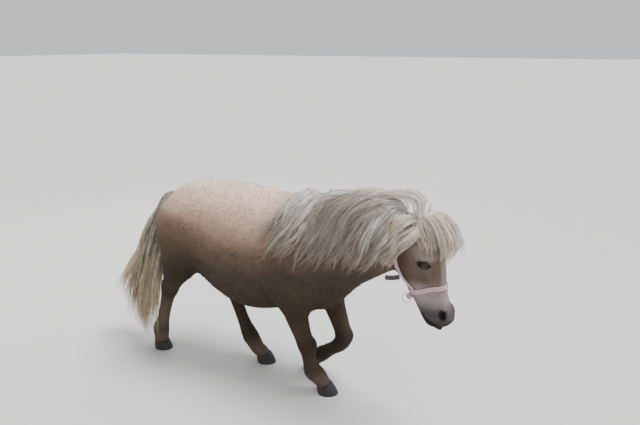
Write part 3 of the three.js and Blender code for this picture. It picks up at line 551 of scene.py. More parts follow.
class Sock:
    # a socket that adds Math nodes when it is used in an expression
    def __init__(self, tree, socket):
        self.tree = tree
        self.socket = socket

    def node(self, kind, settings=None, **inputs):
        made = self.tree.nodes.new(kind)
        for key, value in (settings or {}).items():
            if key == "stops":
                ramp = made.color_ramp.elements
                while len(ramp) < len(value):
                    ramp.new(0.5)
                for element, (place, color) in zip(ramp, value):
                    element.position = place
                    element.color = (*color, 1)
            else:
                setattr(made, key, value)
        for key, value in inputs.items():
            numbered = key[0] == "i" and key[1:].isdigit()
            where = made.inputs[int(key[1:]) if numbered else key.replace("_", " ")]
            if isinstance(value, Sock):
                self.tree.links.new(value.socket, where)
            else:
                where.default_value = value
        return made

    def out(self, made, output=0):
        return Sock(self.tree, made.outputs[output])

    def math(self, operation, other=0.0, swap=False, third=0.0):
        a, b = (other, self) if swap else (self, other)
        return self.out(self.node("ShaderNodeMath", {"operation": operation}, i0=a, i1=b, i2=third))

    def __add__(self, other): return self.math("ADD", other)
    def __radd__(self, other): return self.math("ADD", other)
    def __sub__(self, other): return self.math("SUBTRACT", other)
    def __rsub__(self, other): return self.math("SUBTRACT", other, True)
    def __mul__(self, other): return self.math("MULTIPLY", other)
    def __rmul__(self, other): return self.math("MULTIPLY", other)
    def __truediv__(self, other): return self.math("DIVIDE", other)
    def __pow__(self, other): return self.math("POWER", other)

    def step(self, low, high):
        # 0 below low, 1 above high, smooth between
        made = self.node("ShaderNodeMapRange", {"interpolation_type": "SMOOTHSTEP"}, Value=self,
                         From_Min=low, From_Max=high)
        return self.out(made)

    def mix(self, a, b):
        # colours a and b by this mask
        made = self.node("ShaderNodeMix", {"data_type": "RGBA"}, i0=self)
        for index, value in ((6, a), (7, b)):
            if isinstance(value, Sock):
                self.tree.links.new(value.socket, made.inputs[index])
            else:
                made.inputs[index].default_value = (*value, 1)
        return self.out(made, 2)


def newMaterial(name, roughness=0.6, metallic=0.0, **uniform):
    material = bpy.data.materials.new(name)
    material.use_nodes = True
    tree = material.node_tree
    shader = tree.nodes["Principled BSDF"]
    shader.inputs["Roughness"].default_value = roughness
    shader.inputs["Metallic"].default_value = metallic
    for key, value in uniform.items():
        shader.inputs[key.replace("_", " ")].default_value = value
    place = Sock(tree, tree.nodes.new("ShaderNodeTexCoord").outputs["Object"])
    return material, tree, shader, place


def plug(tree, shader, name, value):
    tree.links.new(value.socket, shader.inputs[name])


def scaled(place, scale, offset=(0, 0, 0)):
    return place.out(place.node("ShaderNodeMapping", {}, Vector=place, Scale=scale, Location=offset))


def noise(place, scale, detail=3.0, rough=0.55):
    return place.out(place.node("ShaderNodeTexNoise", {}, Vector=place, Scale=scale, Detail=detail, Roughness=rough))


def bump(height, strength, distance):
    return height.out(height.node("ShaderNodeBump", {}, Height=height, Strength=strength, Distance=distance))


def attribute(place, name):
    made = place.tree.nodes.new("ShaderNodeAttribute")
    made.attribute_name = name
    return Sock(place.tree, made.outputs["Color"])


def tinted(color, by):
    # a colour multiplied by another
    made = color.node("ShaderNodeMix", {"data_type": "RGBA", "blend_type": "MULTIPLY"}, i0=1.0, i6=color, i7=(*by, 1))
    return color.out(made, 2)


def coatMaterial(name, roughness, streak, depth):
    # fur: the painted colour with fine light and dark streaks along the lie of the hair
    material, tree, shader, place = newMaterial(name, roughness, Specular_IOR_Level=0.14)
    color = attribute(place, "coat")
    fineGrain = noise(scaled(place, streak), 1.0, 4.0, 0.6)
    broad = noise(place, 22.0, 3.0, 0.6)
    mask = (fineGrain * 0.65 + broad * 0.35).step(0.36, 0.64)
    plug(tree, shader, "Base Color", mask.mix(tinted(color, (0.84, 0.82, 0.80)), tinted(color, (1.12, 1.11, 1.10))))
    plug(tree, shader, "Normal", bump(fineGrain, 0.5, depth))
    return material


# The skin and its markings

skin = {"voxel": 0.0078, "smoothing": 3, "coatDepth": 0.005, "faceDepth": 0.0015}
coatTones = {      # colours of the short coat, linear
    "rump": (0.090, 0.060, 0.040), "thigh": (0.030, 0.021, 0.014), "joint": (0.020, 0.014, 0.010),
    "leg": (0.048, 0.035, 0.023), "cannon": (0.104, 0.080, 0.059), "pastern": (0.128, 0.097, 0.080),
    "creaseShade": (0.015, 0.011, 0.008),
    "face": (0.118, 0.086, 0.068), "brow": (0.320, 0.262, 0.228), "cheek": (0.062, 0.037, 0.024),
    "nose": (0.290, 0.240, 0.248), "muzzle": (0.072, 0.064, 0.062), "dark": (0.010, 0.009, 0.009),
}
# the side runs from pale on the back to dark at the belly: partly the coat's own colour, partly painted light on top
# and painted shade below
sideToneAndShade = np.array([     # height, then the colour of the side at that height
    (0.27, 0.030, 0.022, 0.015), (0.36, 0.027, 0.020, 0.013), (0.46, 0.046, 0.034, 0.022),
    (0.57, 0.056, 0.042, 0.031), (0.68, 0.128, 0.087, 0.064), (0.79, 0.370, 0.248, 0.186),
    (0.90, 0.680, 0.485, 0.375), (1.00, 0.800, 0.650, 0.520)])


def regions(p):
    # the form that each point lies nearest to: 0 torso, 1 neck, 2 head, 3 and on the legs;
    # with its place along that form from 0 to 1 and its angle round it
    fields = [torsoField(p), neckField(p), headField(p)]
    fields += [legField(name, p) for name in legRows]
    lengths = [len(torsoRows) - 1, len(neckRows) - 1, len(headRows) - 1, 1, 1, 1, 1]
    d = np.stack([f[0] for f in fields])
    d[2] -= 0.012 * (p[:, 0] > 0.74)
    kind = d.argmin(0)
    pick = np.arange(len(p))
    place = np.stack([f[1] / n for f, n in zip(fields, lengths)])[kind, pick]
    angle = np.stack([f[2] for f in fields])[kind, pick]
    return kind, place, angle


def waver(p, size, seed):
    # soft blotches: sines of turned directions, between 0 and 1
    r = np.random.default_rng(seed)
    total = np.zeros(len(p))
    for i in range(5):
        way = unit(r.normal(size=3)) / size * (1 + 0.5 * i)
        total += np.sin(p @ way + r.uniform(0, 6.28)) / (1 + 0.5 * i)
    return 0.5 + total / 6.4


def coatColor(p):
    tone = {key: np.array(value) for key, value in coatTones.items()}
    wob = waver(p, 0.035, 3) - 0.5
    slow = waver(p, 0.11, 5) - 0.5
    head = toHead(p)
    z = p[:, 2] + 0.04 * wob + 0.07 * slow * smooth(p[:, 2], 0.3, 0.45)
    x = p[:, 0] + 0.08 * wob + 0.08 * slow

    def over(base, key, mask):
        return base + (tone[key] - base) * np.clip(mask, 0, 1)[:, None]
    # the side colour by height, darker towards the belly, with the same painted shade
    level = z - 0.05 * smooth(x, 0.05, 0.25)
    c = np.stack([np.interp(level, sideToneAndShade[:, 0], sideToneAndShade[:, k]) for k in (1, 2, 3)], 1)
    c = over(c, "rump", smooth(-x, 0.12, 0.46) * smooth(z, 0.50, 0.66) * (1 - smooth(z, 0.70, 0.92)) * 0.75)
    # the thigh below the haunch and the legs are darkened: partly the coat's own colour, partly painted shade
    c = over(c, "thigh", smooth(-x, 0.14, 0.36) * (1 - smooth(z, 0.44, 0.70)) * smooth(z, 0.33, 0.45))
    c = over(c, "leg", 1 - smooth(z, 0.30, 0.52))
    c = over(c, "cannon", smooth(-x, 0.40, 0.54) * (1 - smooth(z, 0.18, 0.42)) * 0.9)
    c = over(c, "pastern", 0.75 * (1 - smooth(z, 0.06, 0.15)))
    for center, reach in (((0.30, -0.11, 0.25), 0.075), ((0.39, 0.09, 0.23), 0.075), ((-0.50, -0.11, 0.37), 0.07),
                          ((-0.27, 0.10, 0.36), 0.07), ((0.32, -0.08, 0.12), 0.05), ((0.27, 0.09, 0.11), 0.06),
                          ((-0.60, -0.07, 0.13), 0.05), ((-0.13, 0.07, 0.13), 0.05)):
        c = over(c, "joint", 0.7 * (1 - smooth(np.linalg.norm(p - np.array(center), axis=1), reach * 0.3, reach)))
    # painted shade in the folds behind the elbows and before the thighs
    for center, size in (((0.135, 0.42), (0.035, 0.16)), ((-0.285, 0.50), (0.05, 0.08))):
        rise = p[:, 2] - center[1]
        off = np.hypot((p[:, 0] - center[0] + 0.25 * rise) / size[0], rise / size[1])
        c = over(c, "creaseShade", 0.6 * (1 - smooth(off, 0.2, 1.0)))
    # head
    mask = smooth(p[:, 0], 0.70, 0.76) * smooth(head[:, 2], -0.32, -0.28)
    h = head + 0.02 * wob[:, None]
    f = np.tile(tone["face"], (len(p), 1))

    def onFace(key, m):
        f[:] = f + (tone[key] - f) * np.clip(m, 0, 1)[:, None]
    q = np.abs(head[:, 1])
    # the cheek is darker: partly the coat's own brown, partly painted shade on the side of the jaw
    onFace("cheek", smooth(-h[:, 0], 0.0, 0.10) * smooth(h[:, 2], -0.15, -0.03) * 0.9)
    # lighter over the eye and down the ridge of the nose: partly pale coat, partly painted highlight
    onFace("brow", smooth(h[:, 2], 0.012, 0.035) * (1 - smooth(h[:, 2], 0.07, 0.11))
           * smooth(h[:, 0], -0.06, 0.02) * 0.8)
    onFace("brow", smooth(h[:, 0], 0.045, 0.062) * (1 - smooth(q, 0.012, 0.030)) * 0.6)
    onFace("nose", (1 - smooth(h[:, 2], -0.12, -0.05)) * 0.8)
    onFace("muzzle", 1 - smooth(h[:, 2], -0.20, -0.14))
    half = np.stack([head[:, 0], q, head[:, 2]], 1)
    across, along = mouthLine(half)
    # the lips, the chin below them and the nostril openings are painted dark: partly dark skin, partly painted shade in
    # the mouth line, under the chin and in the nostrils
    lips = 1 - smooth(across + 0.3 * (h[:, 2] - head[:, 2]), 0.002, 0.018)
    onFace("dark", lips * smooth(along, -0.056, -0.036) * 0.92)
    onFace("dark", (1 - smooth(h[:, 2], -0.246, -0.222)) * 0.6)
    nostril = np.linalg.norm((half - (0.047, 0.040, -0.207)) / (1, 1, 1.35), axis=1)
    onFace("dark", 1 - smooth(nostril, 0.011, 0.022))
    e = (half - np.array(eye["place"])) @ eyeTilt
    lids = np.hypot(e[:, 0] / eye["long"], e[:, 2] / eye["high"])
    onFace("dark", (1 - smooth(lids, 1.12, 1.58)) * (e[:, 1] > 0) * 0.97)
    corner = np.hypot((e[:, 0] - 0.026) / 0.009, (e[:, 2] + 0.001) / 0.005)
    onFace("dark", (1 - smooth(corner, 0.3, 1.0)) * (e[:, 1] > 0) * 0.7)
    c = c + (f - c) * mask[:, None]
    return c * (1 + 0.16 * (waver(p, 0.018, 9) - 0.5))[:, None]


def coatDepth(p):
    # how far the skin lies below the solids: less on the face and the lower legs
    head = smooth(p[:, 0], 0.68, 0.76)
    low = 1 - smooth(p[:, 2], 0.25, 0.42)
    return lerp(skin["coatDepth"], skin["faceDepth"], np.maximum(head, low))


def buildSkin():
    angles = np.linspace(0, 2 * np.pi, 40, endpoint=False)

    def rings(point, last, steps):
        place = np.linspace(0, last, steps)[:, None] + 0 * angles
        return point(place, angles + 0 * place)
    parts = [closedTube(rings(torsoPoint, len(torsoRows) - 1, 60)),
             closedTube(rings(neckPoint, len(neckRows) - 1, 40)),
             closedTube(fromHead(rings(headPoint, len(headRows) - 1, 60)))]
    for rows in legDense.values():
        along = unit(np.gradient(rows[:, :3], axis=0))
        across = unit(np.array([0, 1, 0]) - along * along[:, 1:2])
        ahead = np.cross(across, along)
        ring = rows[:, None, :3] + ahead[:, None] * (rows[:, 3, None] * -np.cos(angles))[..., None] \
            + across[:, None] * (rows[:, 4, None] * np.sin(angles))[..., None]
        parts.append(closedTube(ring))
    verts, quads, tris = joined(parts)
    obj = meshFrom("skin", verts, [quads, tris])
    remesh = obj.modifiers.new("remesh", "REMESH")
    remesh.mode = "VOXEL"
    remesh.voxel_size = skin["voxel"]
    shaped = bpy.data.meshes.new_from_object(obj.evaluated_get(bpy.context.evaluated_depsgraph_get()))
    obj.modifiers.clear()
    obj.data = shaped
    setPoints(obj, settle(skinField, pointsOf(obj), 0.0, 2))
    # finer on the head, and finer again round the eyes, nostrils and mouth
    bm = bmesh.new()
    bm.from_mesh(obj.data)
    eyes = [fromHead([eye["place"][0], side * 0.072, eye["place"][2]]) for side in (-1, 1)]
    nose = fromHead([0.030, 0, -0.225])
    for center, reach in (([0.85, -0.12, 0.73], 0.30), (eyes[0], 0.055), (eyes[1], 0.055), (nose, 0.070),
                          (eyes[0], 0.036), (eyes[1], 0.036)):
        middle = Vector(np.array(center) + shift)
        edges = [e for e in bm.edges if all((v.co - middle).length < reach for v in e.verts)
                 and (reach < 0.2 or min(v.co.x for v in e.verts) > 0.72 + shift[0])]
        bmesh.ops.subdivide_edges(bm, edges=edges, cuts=1, use_grid_fill=True)
    bmesh.ops.triangulate(bm, faces=[f for f in bm.faces if len(f.verts) > 4])
    bm.to_mesh(obj.data)
    bm.free()
    p = pointsOf(obj)
    p = settle(skinField, p, -coatDepth(p), 3)
    edges = np.empty(len(obj.data.edges) * 2, np.int32)
    obj.data.edges.foreach_get("vertices", edges)
    edges = edges.reshape(-1, 2)
    count = np.bincount(edges.ravel(), minlength=len(p))[:, None]
    calm = (1 - smooth(p[:, 0], 0.70, 0.76))[:, None]
    for _ in range(skin["smoothing"]):
        total = np.zeros_like(p)
        np.add.at(total, edges[:, 0], p[edges[:, 1]])
        np.add.at(total, edges[:, 1], p[edges[:, 0]])
        p = lerp(p, total / count, 0.5 * calm + 0.12 * (1 - calm))
    setPoints(obj, p)
    obj.data.polygons.foreach_set("use_smooth", np.full(len(obj.data.polygons), True))
    paint(obj, "coat", coatColor(p))
    return obj


skinPiece = buildSkin()
give(skinPiece, coatMaterial("shortCoat", 0.85, (90, 260, 200), 0.002),
     ("torso", "neck", "head", *["leg_" + name for name in legRows]))
print("skin", len(skinPiece.data.polygons), "faces")

# Long hair. Each strand is a thin three-sided tube along its own path, ending in a point. Guides
# are laid first; locks follow a guide and strands follow a lock, closer together at the tips.


def alongPath(paths, t):
    # points at parameters t[n, k] from 0 to 1 on paths[n, s, 3]
    s = paths.shape[1] - 1
    x = np.clip(t, 0, 1) * s
    i = np.clip(np.floor(x).astype(int), 0, s - 1)
    f = (x - i)[..., None]
    n = np.arange(len(paths))[:, None]
    a, b, c, d = (paths[n, np.clip(i + k, 0, s)] for k in (-1, 0, 1, 2))
    return 0.5 * (2 * b + (c - a) * f + (2 * a - 5 * b + 4 * c - d) * f ** 2 + (3 * b - a - 3 * c + d) * f ** 3)


def frames(paths, away):
    # along, across and outward directions at each station, outward being nearest to away
    along = unit(np.gradient(paths, axis=1))
    out = unit(away - along * (away * along).sum(-1, keepdims=True))
    return along, np.cross(along, out), out


def follow(guides, away, count, spread, thin, wave, trim, seed, narrow=0.62):
    # count children to each guide. A child keeps its own place in the bundle, a disc flattened by
    # thin, which narrows from root to tip; wave is its sway, trim how much shorter it may be.
    r = np.random.default_rng(seed)
    n, s = guides.shape[:2]
    g = np.repeat(guides, count, 0)
    w = np.repeat(np.broadcast_to(away, guides.shape), count, 0)
    along, side, out = frames(g, w)
    t = np.linspace(0, 1, s)[None, :]
    turn = r.uniform(0, 2 * np.pi, (n * count, 1))
    far = np.sqrt(r.uniform(0, 1, (n * count, 1)))
    width = spread * (0.75 + 0.5 * np.sin(np.pi * np.minimum(t * 1.25, 1))) * (1 - narrow * t ** 1.5)
    twist = turn + r.uniform(-1.3, 1.3, (n * count, 1)) * t
    phase = r.uniform(0, 6.28, (2, n * count, 1))
    beat = r.uniform(1.2, 2.8, (2, n * count, 1))
    a = width * far * np.cos(twist) + wave * t * np.sin(beat[0] * 6.28 * t + phase[0])
    b = width * thin * far * np.sin(twist) + wave * 0.6 * t * np.sin(beat[1] * 6.28 * t + phase[1])
    p = g + side * a[..., None] + out * b[..., None]
    last = 1 - trim * r.uniform(0, 1, (n * count, 1)) ** 1.5
    return alongPath(p, t * last), w


def hairMesh(name, paths, away, width, tones, rootPlace, deep=0.55, patch=0.0045):
    # paths[n, s, 3]; width[n]; tones[n, s, 3]; rootPlace[n, 2] on the bake map
    n, s = paths.shape[:2]
    along, side, out = frames(paths, away)
    t = np.linspace(0, 1, s)[None, :]
    w = width[:, None] * np.minimum(1, 0.55 + 3 * t) * (1 - 0.93 * t ** 2.2) * 0.5
    corner = np.radians([-30, 90, 210])
    ring = paths[:, :, None] + side[:, :, None] * (w[..., None] * np.cos(corner))[..., None] \
        + out[:, :, None] * (w[..., None] * deep * np.sin(corner))[..., None]
    verts = ring.reshape(-1, 3)
    base = (np.arange(n) * s * 3)[:, None, None]
    quads = (tubeFaces(s, 3)[None] + base).reshape(-1, 4)
    caps = np.array([[2, 1, 0], [s * 3 - 3, s * 3 - 2, s * 3 - 1]])
    tris = (caps[None] + base).reshape(-1, 3)
    obj = meshFrom(name, verts, [quads, tris])
    paint(obj, "coat", np.repeat(tones.reshape(-1, 3), 3, 0))
    u = rootPlace[:, None, None, 0] * (1 - patch) + patch * np.array([0, 0.5, 1.0])[None, None, :] + 0 * t[..., None]
    v = rootPlace[:, None, None, 1] * (1 - patch) + patch * t[..., None] + 0 * u
    uvMap(obj, "OFBake", np.stack([u, v], -1).reshape(-1, 2))
    return obj


def liftOff(paths, height, field, free=0.1):
    # strands are kept at least a height off the flesh, apart from their roots
    p = paths.reshape(-1, 3).copy()
    t = np.tile(np.linspace(0, 1, paths.shape[1]), len(paths))
    d = field(p)
    low = (d < height) & (t > free)
    if low.any():
        g = unit(slope(field, p[low]))
        p[low] += g * (height - d[low])[:, None]
    return p.reshape(paths.shape)


def layHair(root, rise, pull, heights, length, steps, field, loose=0.09):
    # guides carried along by a pull, kept a height off the flesh that changes along them;
    # pull(t) and heights(t) give one row for each guide
    p = root.copy()
    way = rise.copy()
    points = [root - rise * 0.012, root]
    outs = [unit(slope(field, root))] * 2
    for k in range(1, steps + 1):
        t = k / steps
        normal = unit(slope(field, p))
        aim = pull(t)
        close = np.clip(1 - field(p) / loose, 0, 1)[:, None]
        aim = unit(aim - normal * ((aim * normal).sum(1, keepdims=True) * 0.9 * close))
        way = unit(lerp(way, aim, 0.5))
        p = p + way * (length / steps)[:, None]
        miss = np.maximum(heights(t) - field(p), 0)[:, None]
        p = p + unit(slope(field, p)) * miss
        points.append(p.copy())
        outs.append(unit(slope(field, p)))
    return np.stack(points, 1), np.stack(outs, 1)


def hairTones(n, s, light, dark, tip, shade, seed, fade, rootShade=0.08):
    # each strand between light and dark, a little darker at the root, which is painted shade, and lighter at the tip
    r = np.random.default_rng(seed)
    mixOf = np.clip(shade + r.normal(0, 0.16, n), 0, 1)[:, None, None]
    t = np.linspace(0, 1, s)[None, :, None]
    # over its first third a strand keeps nearer the light colour: partly the hair's own colour, partly painted light on
    # the top of the hair
    c = lerp(np.array(light), np.array(dark), mixOf * (0.35 + 0.65 * smooth(t, 0.02, 0.35)))
    c = lerp(c, np.array(tip) * (1.25 - 0.5 * mixOf), fade * smooth(t, 0.15, 1.0))
    c = c * (1 - rootShade * np.exp(-t * 14)) * r.uniform(0.86, 1.14, (n, 1, 1))
    return np.clip(c, 0, 1)


# the mane's tip colour is dark, so each strand darkens towards its lower end: painted shade
mane = {
    "right": 176, "left": 26, "windy": 40, "locks": 4, "strands": 7, "lockWidth": 0.030, "strandSpread": 0.0100,
    "thin": 0.36, "narrow": 0.30, "wave": 0.011, "hair": 0.0027, "stations": 10, "trim": 0.34,
    "shade": 0.07, "vary": 0.24, "fade": 0.80,
    "light": (1.00, 0.96, 0.91), "dark": (0.20, 0.150, 0.122), "tip": (0.190, 0.137, 0.097),
}


def maneGuides():
    n = mane["right"]
    part = (np.arange(n) + dice.uniform(0.1, 0.9, n)) / n
    layer = dice.uniform(0, 5, n)
    root = neckPoint(lerp(0.55, 6.5, part), np.radians(115 - 5.0 * layer), -0.002)
    stand = smooth(part, 0.45, 0.85)
    rise = unit(np.stack([dice.normal(-0.1, 0.14, n), -lerp(0.9, 0.42, stand) + dice.normal(0, 0.08, n),
                          lerp(0.12, 0.85, stand)], 1))
    back = lerp(-0.55, -0.42, part) + dice.normal(0, 0.13, n)
    aside = lerp(-0.8, -0.25, np.clip(part * 1.6, 0, 1))

    def pull(t):
        return np.stack([back * (0.75 + 0.5 * t), aside * (1 - 0.85 * t), np.full(n, -0.9)], 1)

    def heights(t):
        return lerp((0.012 + 0.0060 * layer) * lerp(0.22, 1, stand), 0.003 + 0.0040 * layer,
                    np.clip((t - 0.15) / 0.5, 0, 1))
    length = lerp(0.385, 0.335, part) * dice.uniform(0.72, 1.12, n)
    right = layHair(root, rise, pull, heights, length, 16, skinField)
    m = mane["left"]
    partL = (np.arange(m) + dice.uniform(0.1, 0.9, m)) / m
    layerL = dice.uniform(0, 3, m)
    rootL = neckPoint(lerp(1.7, 6.2, partL), np.radians(62 + 6 * layerL), -0.002)
    riseL = unit(np.stack([dice.normal(-0.25, 0.1, m), dice.uniform(0.8, 1.0, m), np.full(m, 0.25)], 1))
    left = layHair(rootL, riseL, lambda t: np.stack([lerp(-0.8, -0.5, partL), lerp(0.6, 0.2, partL),
                                                     np.full(m, -0.9)], 1),
                   lambda t: 0.003 + 0.004 * layerL,
                   dice.uniform(0.20, 0.30, m), 16, skinField)
    # towards the poll the topmost ones stand up in the wind before they fall
    w = mane["windy"]
    partW = (np.arange(w) + dice.uniform(0.1, 0.9, w)) / w
    rootW = neckPoint(lerp(3.7, 6.4, partW), np.radians(dice.uniform(84, 97, w)), -0.002)
    top = (lerp(0.974, 1.014, smooth(partW, 0.1, 0.7)) - rootW[:, 2]) * dice.uniform(0.35, 1.0, w)
    steps = np.array([(-4, 2, -15), (4, -5, 0), (-14, -14, 0), (-60, -38, 0), (-118, -76, 0), (-166, -112, -6),
                      (-204, -134, -92), (-230, -148, -170)]) / 1000
    rises = np.array([0, 0.4, 0.86, 1, 0.6, 0, 0, 0])
    path = rootW[:, None] + steps[None] * dice.uniform(0.86, 1.1, (w, 1, 1))
    path[:, :, 2] += rises[None] * top[:, None]
    path[:, :, 0] += dice.normal(0, 0.012, (w, 1)) * np.linspace(0, 1, 8)
    path = alongPath(path, np.tile(np.linspace(0, 1, 18), (w, 1)))
    path = liftOff(path, 0.034, skinField, 0.25)
    outW = unit(slope(skinField, path.reshape(-1, 3))).reshape(path.shape)
    places = np.concatenate([part, partL, partW])
    bands = np.concatenate([0.30 + 0.06 * layer, 0.72 + 0.05 * layerL, 0.62 + 0 * partW])
    # right-side strands lighter near the withers and the wind-lifted ones on top lighter still: painted light on the
    # top of the mane; the normal spread is random tone
    bias = np.concatenate([0.10 * dice.normal(0, 1, n) + 0.12 * smooth(part, 0.1, 0.4), 0 * partL, 0 * partW - 0.15])
    paths = np.concatenate([right[0], left[0], path])
    paths[:, :, 1] = np.maximum(paths[:, :, 1], -0.235 + 0.1 * (paths[:, :, 1] + 0.235))
    return paths, np.concatenate([right[1], left[1], outW]), places, bands, bias


def growHair(name, guides, away, places, bands, look, replaces, material, seed, field, height, pieces=1,
             free=0.1, bias=0.0):
    locks = look["locks"]
    strands = max(2, int(round(look["strands"] * fine)))
    trim = look["trim"]
    p, w = follow(guides, away, locks, look["lockWidth"], look.get("thin", 0.45), look["wave"], trim, seed,
                  look["narrow"])
    r = np.random.default_rng(seed + 1)
    shade = np.repeat(look["shade"] + bias + np.zeros(len(guides)), locks)
    shade = shade + r.normal(0, look["vary"], len(p))
    shade = np.repeat(np.clip(shade, 0, 1), strands)
    p, w = follow(p, w, strands, look["strandSpread"], 0.7, look["wave"] * 0.4, trim * 0.7, seed + 2)
    if field is not None:
        p = liftOff(p, height, field, free)
    p[:, :, 1] = np.maximum(p[:, :, 1], -0.262 + 0.03 * (p[:, :, 1] + 0.262))
    n, s = p.shape[:2]
    t = np.tile(np.linspace(0, 1, look["stations"]) ** 0.92, (n, 1))
    p, w = alongPath(p, t), alongPath(w, t)
    s = p.shape[1]
    tones = hairTones(n, s, look["light"], look["dark"], look["tip"], shade, seed + 3,
                      look.get("fade", 0.5))
    per = locks * strands
    place = np.stack([np.repeat(places, per) + r.uniform(-0.5, 0.5, n) / max(len(places), 1),
                      np.repeat(bands, per) + r.uniform(-0.12, 0.12, n)], 1)
    width = look["hair"] * r.uniform(0.7, 1.3, n) * (1.5 if fine < 1 else 1)
    made = []
    for k in range(pieces):
        pick = np.arange(n) % pieces == k
        title = name if pieces == 1 else name + "_" + "abcd"[k]
        made.append(hairMesh(title, p[pick], w[pick], width[pick], tones[pick], np.clip(place[pick], 0, 1)))
        give(made[-1], material, replaces)
    print(name, n, "strands", sum(len(m.data.polygons) for m in made), "faces")
    return made


def hairMaterial(name, roughness=0.5):
    material, tree, shader, place = newMaterial(name, roughness, Specular_IOR_Level=0.22)
    color = attribute(place, "coat")
    mask = noise(place, 160.0, 2.0) * 0.6 + noise(place, 24.0, 2.0) * 0.4
    plug(tree, shader, "Base Color",
         mask.step(0.36, 0.62).mix(tinted(color, (0.80, 0.77, 0.74)), tinted(color, (1.12, 1.11, 1.09))))
    return material


hairCoat = hairMaterial("longHair")
guides, away, places, bands, bias = maneGuides()
growHair("mane_locks", guides, away, places, bands, mane, (), hairCoat, 11, skinField, 0.0025, pieces=2,
         bias=bias)

forelock = {
    "fan": 80, "near": 34, "swept": 52, "crown": 22, "over": 24, "locks": 3, "strands": 5, "lockWidth": 0.015,
    "strandSpread": 0.0060, "narrow": 0.35, "wave": 0.006, "hair": 0.0027, "stations": 10, "trim": 0.20,
    "shade": 0.08, "vary": 0.16, "fade": 0.75,
    "light": (0.98, 0.93, 0.86), "dark": (0.30, 0.22, 0.155), "tip": (0.44, 0.345, 0.245),
}
fanProfile = np.array([      # how far out, and how high on the head
    (14, 166), (52, 186), (92, 186), (128, 150), (148, 99), (154, 58), (134, 20), (108, -4)]) / 1000


def forelockGuides():
    paths = []
    for name, first, last, sizes in (("fan", -40, 78, (1, 0.72, 0.92, 0.82, 0.64)),
                                     ("near", -80, -22, (0.70, 0.58, 0.48))):
        n = forelock[name]
        angle = np.radians(lerp(first, last, (np.arange(n) + dice.uniform(0.1, 0.9, n)) / n))
        size = dice.choice(sizes, n) + dice.normal(0, 0.03, n)
        drop = dice.uniform(-0.020, 0.024, n)
        rows = [np.stack([np.full(n, -0.024), 0.006 * np.sin(angle), np.full(n, 0.134)], 1)]
        for k, (far, z) in enumerate(fanProfile):
            reach = far * (1 if k < 1 else size)
            rows.append(np.stack([-0.012 + reach * np.cos(angle), 0.72 * reach * np.sin(angle),
                                  lerp(0.146, z, size) - drop * k / 7], 1))
        paths.append(np.stack(rows, 1))
    n = forelock["swept"]
    f = 1.14 * (np.arange(n) + dice.uniform(0.1, 0.9, n)) / n - 0.07
    lift = 1000 * dice.uniform(0, 0.014, n)
    rows = [(-30 + 14 * f, -8 + 0 * f, 134 + 0 * f), (-22 + 18 * f, -30 + 0 * f, 156 + 0 * f),
            (-30 + 26 * f, -62 - lift, lerp(148, 132, f)), (lerp(-62, -36, f), -84 - lift, lerp(130, 102, f)),
            (lerp(-108, -74, f), -96 - lift, lerp(102, 70, f)), (lerp(-156, -106, f), -104 - lift, lerp(68, 34, f)),
            (lerp(-202, -132, f), -106 - lift, lerp(32, -6, f))]
    paths.append(np.stack([np.stack(row, 1) for row in rows], 1) / 1000)
    # over the near ear
    n = forelock["over"]
    f = (np.arange(n) + dice.uniform(0.1, 0.9, n)) / n
    high = dice.uniform(0.70, 1.12, n)
    rows = [(-26 + 0 * f, -8 + 0 * f, 134 + 0 * f), (-26 + 8 * f, -40 - 10 * high, 140 + 50 * high),
            (-40 + 10 * f, -84 - 14 * high, 138 + 58 * high), (-72 + 12 * f, -100 - 14 * high, 128 + 44 * high),
            (-114 + 16 * f, -104 - 14 * high, 104 + 30 * high), (-160 + 18 * f, -106 - 14 * high, 76 + 12 * high)]
    paths.append(alongPath(np.stack([np.stack(row, 1) for row in rows], 1) / 1000,
                           np.tile(np.linspace(0, 1, 7), (n, 1))))
    # the tuft behind the poll, under the arch
    n = forelock["crown"]
    f = (np.arange(n) + dice.uniform(0.1, 0.9, n)) / n
    high = dice.uniform(0.45, 1.0, n)
    rows = [(-34 + 0 * f, -4 + 0 * f, 130 + 0 * f), (-44 + 20 * f, -14 - 14 * f, 150 + 40 * high),
            (-88 + 26 * f, -26 - 24 * f, 150 + 58 * high), (-148 + 30 * f, -44 - 34 * f, 142 + 56 * high),
            (-204 + 30 * f, -66 - 34 * f, 120 + 36 * high), (-250 + 30 * f, -92 - 30 * f, 88 + 10 * high),
            (-286 + 30 * f, -112 - 26 * f, 44 + 0 * f)]
    paths.append(np.stack([np.stack(row, 1) for row in rows], 1) / 1000)
    done = [fromHead(alongPath(q, np.tile(np.linspace(0, 1, 18), (len(q), 1)))) for q in paths]
    # near-side, swept, over-ear and crown strands are painted darker: painted shade down the side of the head and under
    # the arch
    forelockShade = {"fan": 0, "near": 0.1, "swept": 0.30, "over": 0.06, "crown": 0.1}
    bias = np.concatenate([np.full(forelock[k], v) for k, v in forelockShade.items()])
    path = liftOff(np.concatenate(done), 0.006, skinField, 0.12)
    return path, unit(path - fromHead([-0.020, 0, 0.060])), bias


guides, away, bias = forelockGuides()
places = (np.arange(len(guides)) + 0.5) / len(guides)
growHair("forelock_locks", guides, away, places, 0.5 + 0 * places, forelock, (), hairCoat, 21,
         skinField, 0.002, bias=bias)

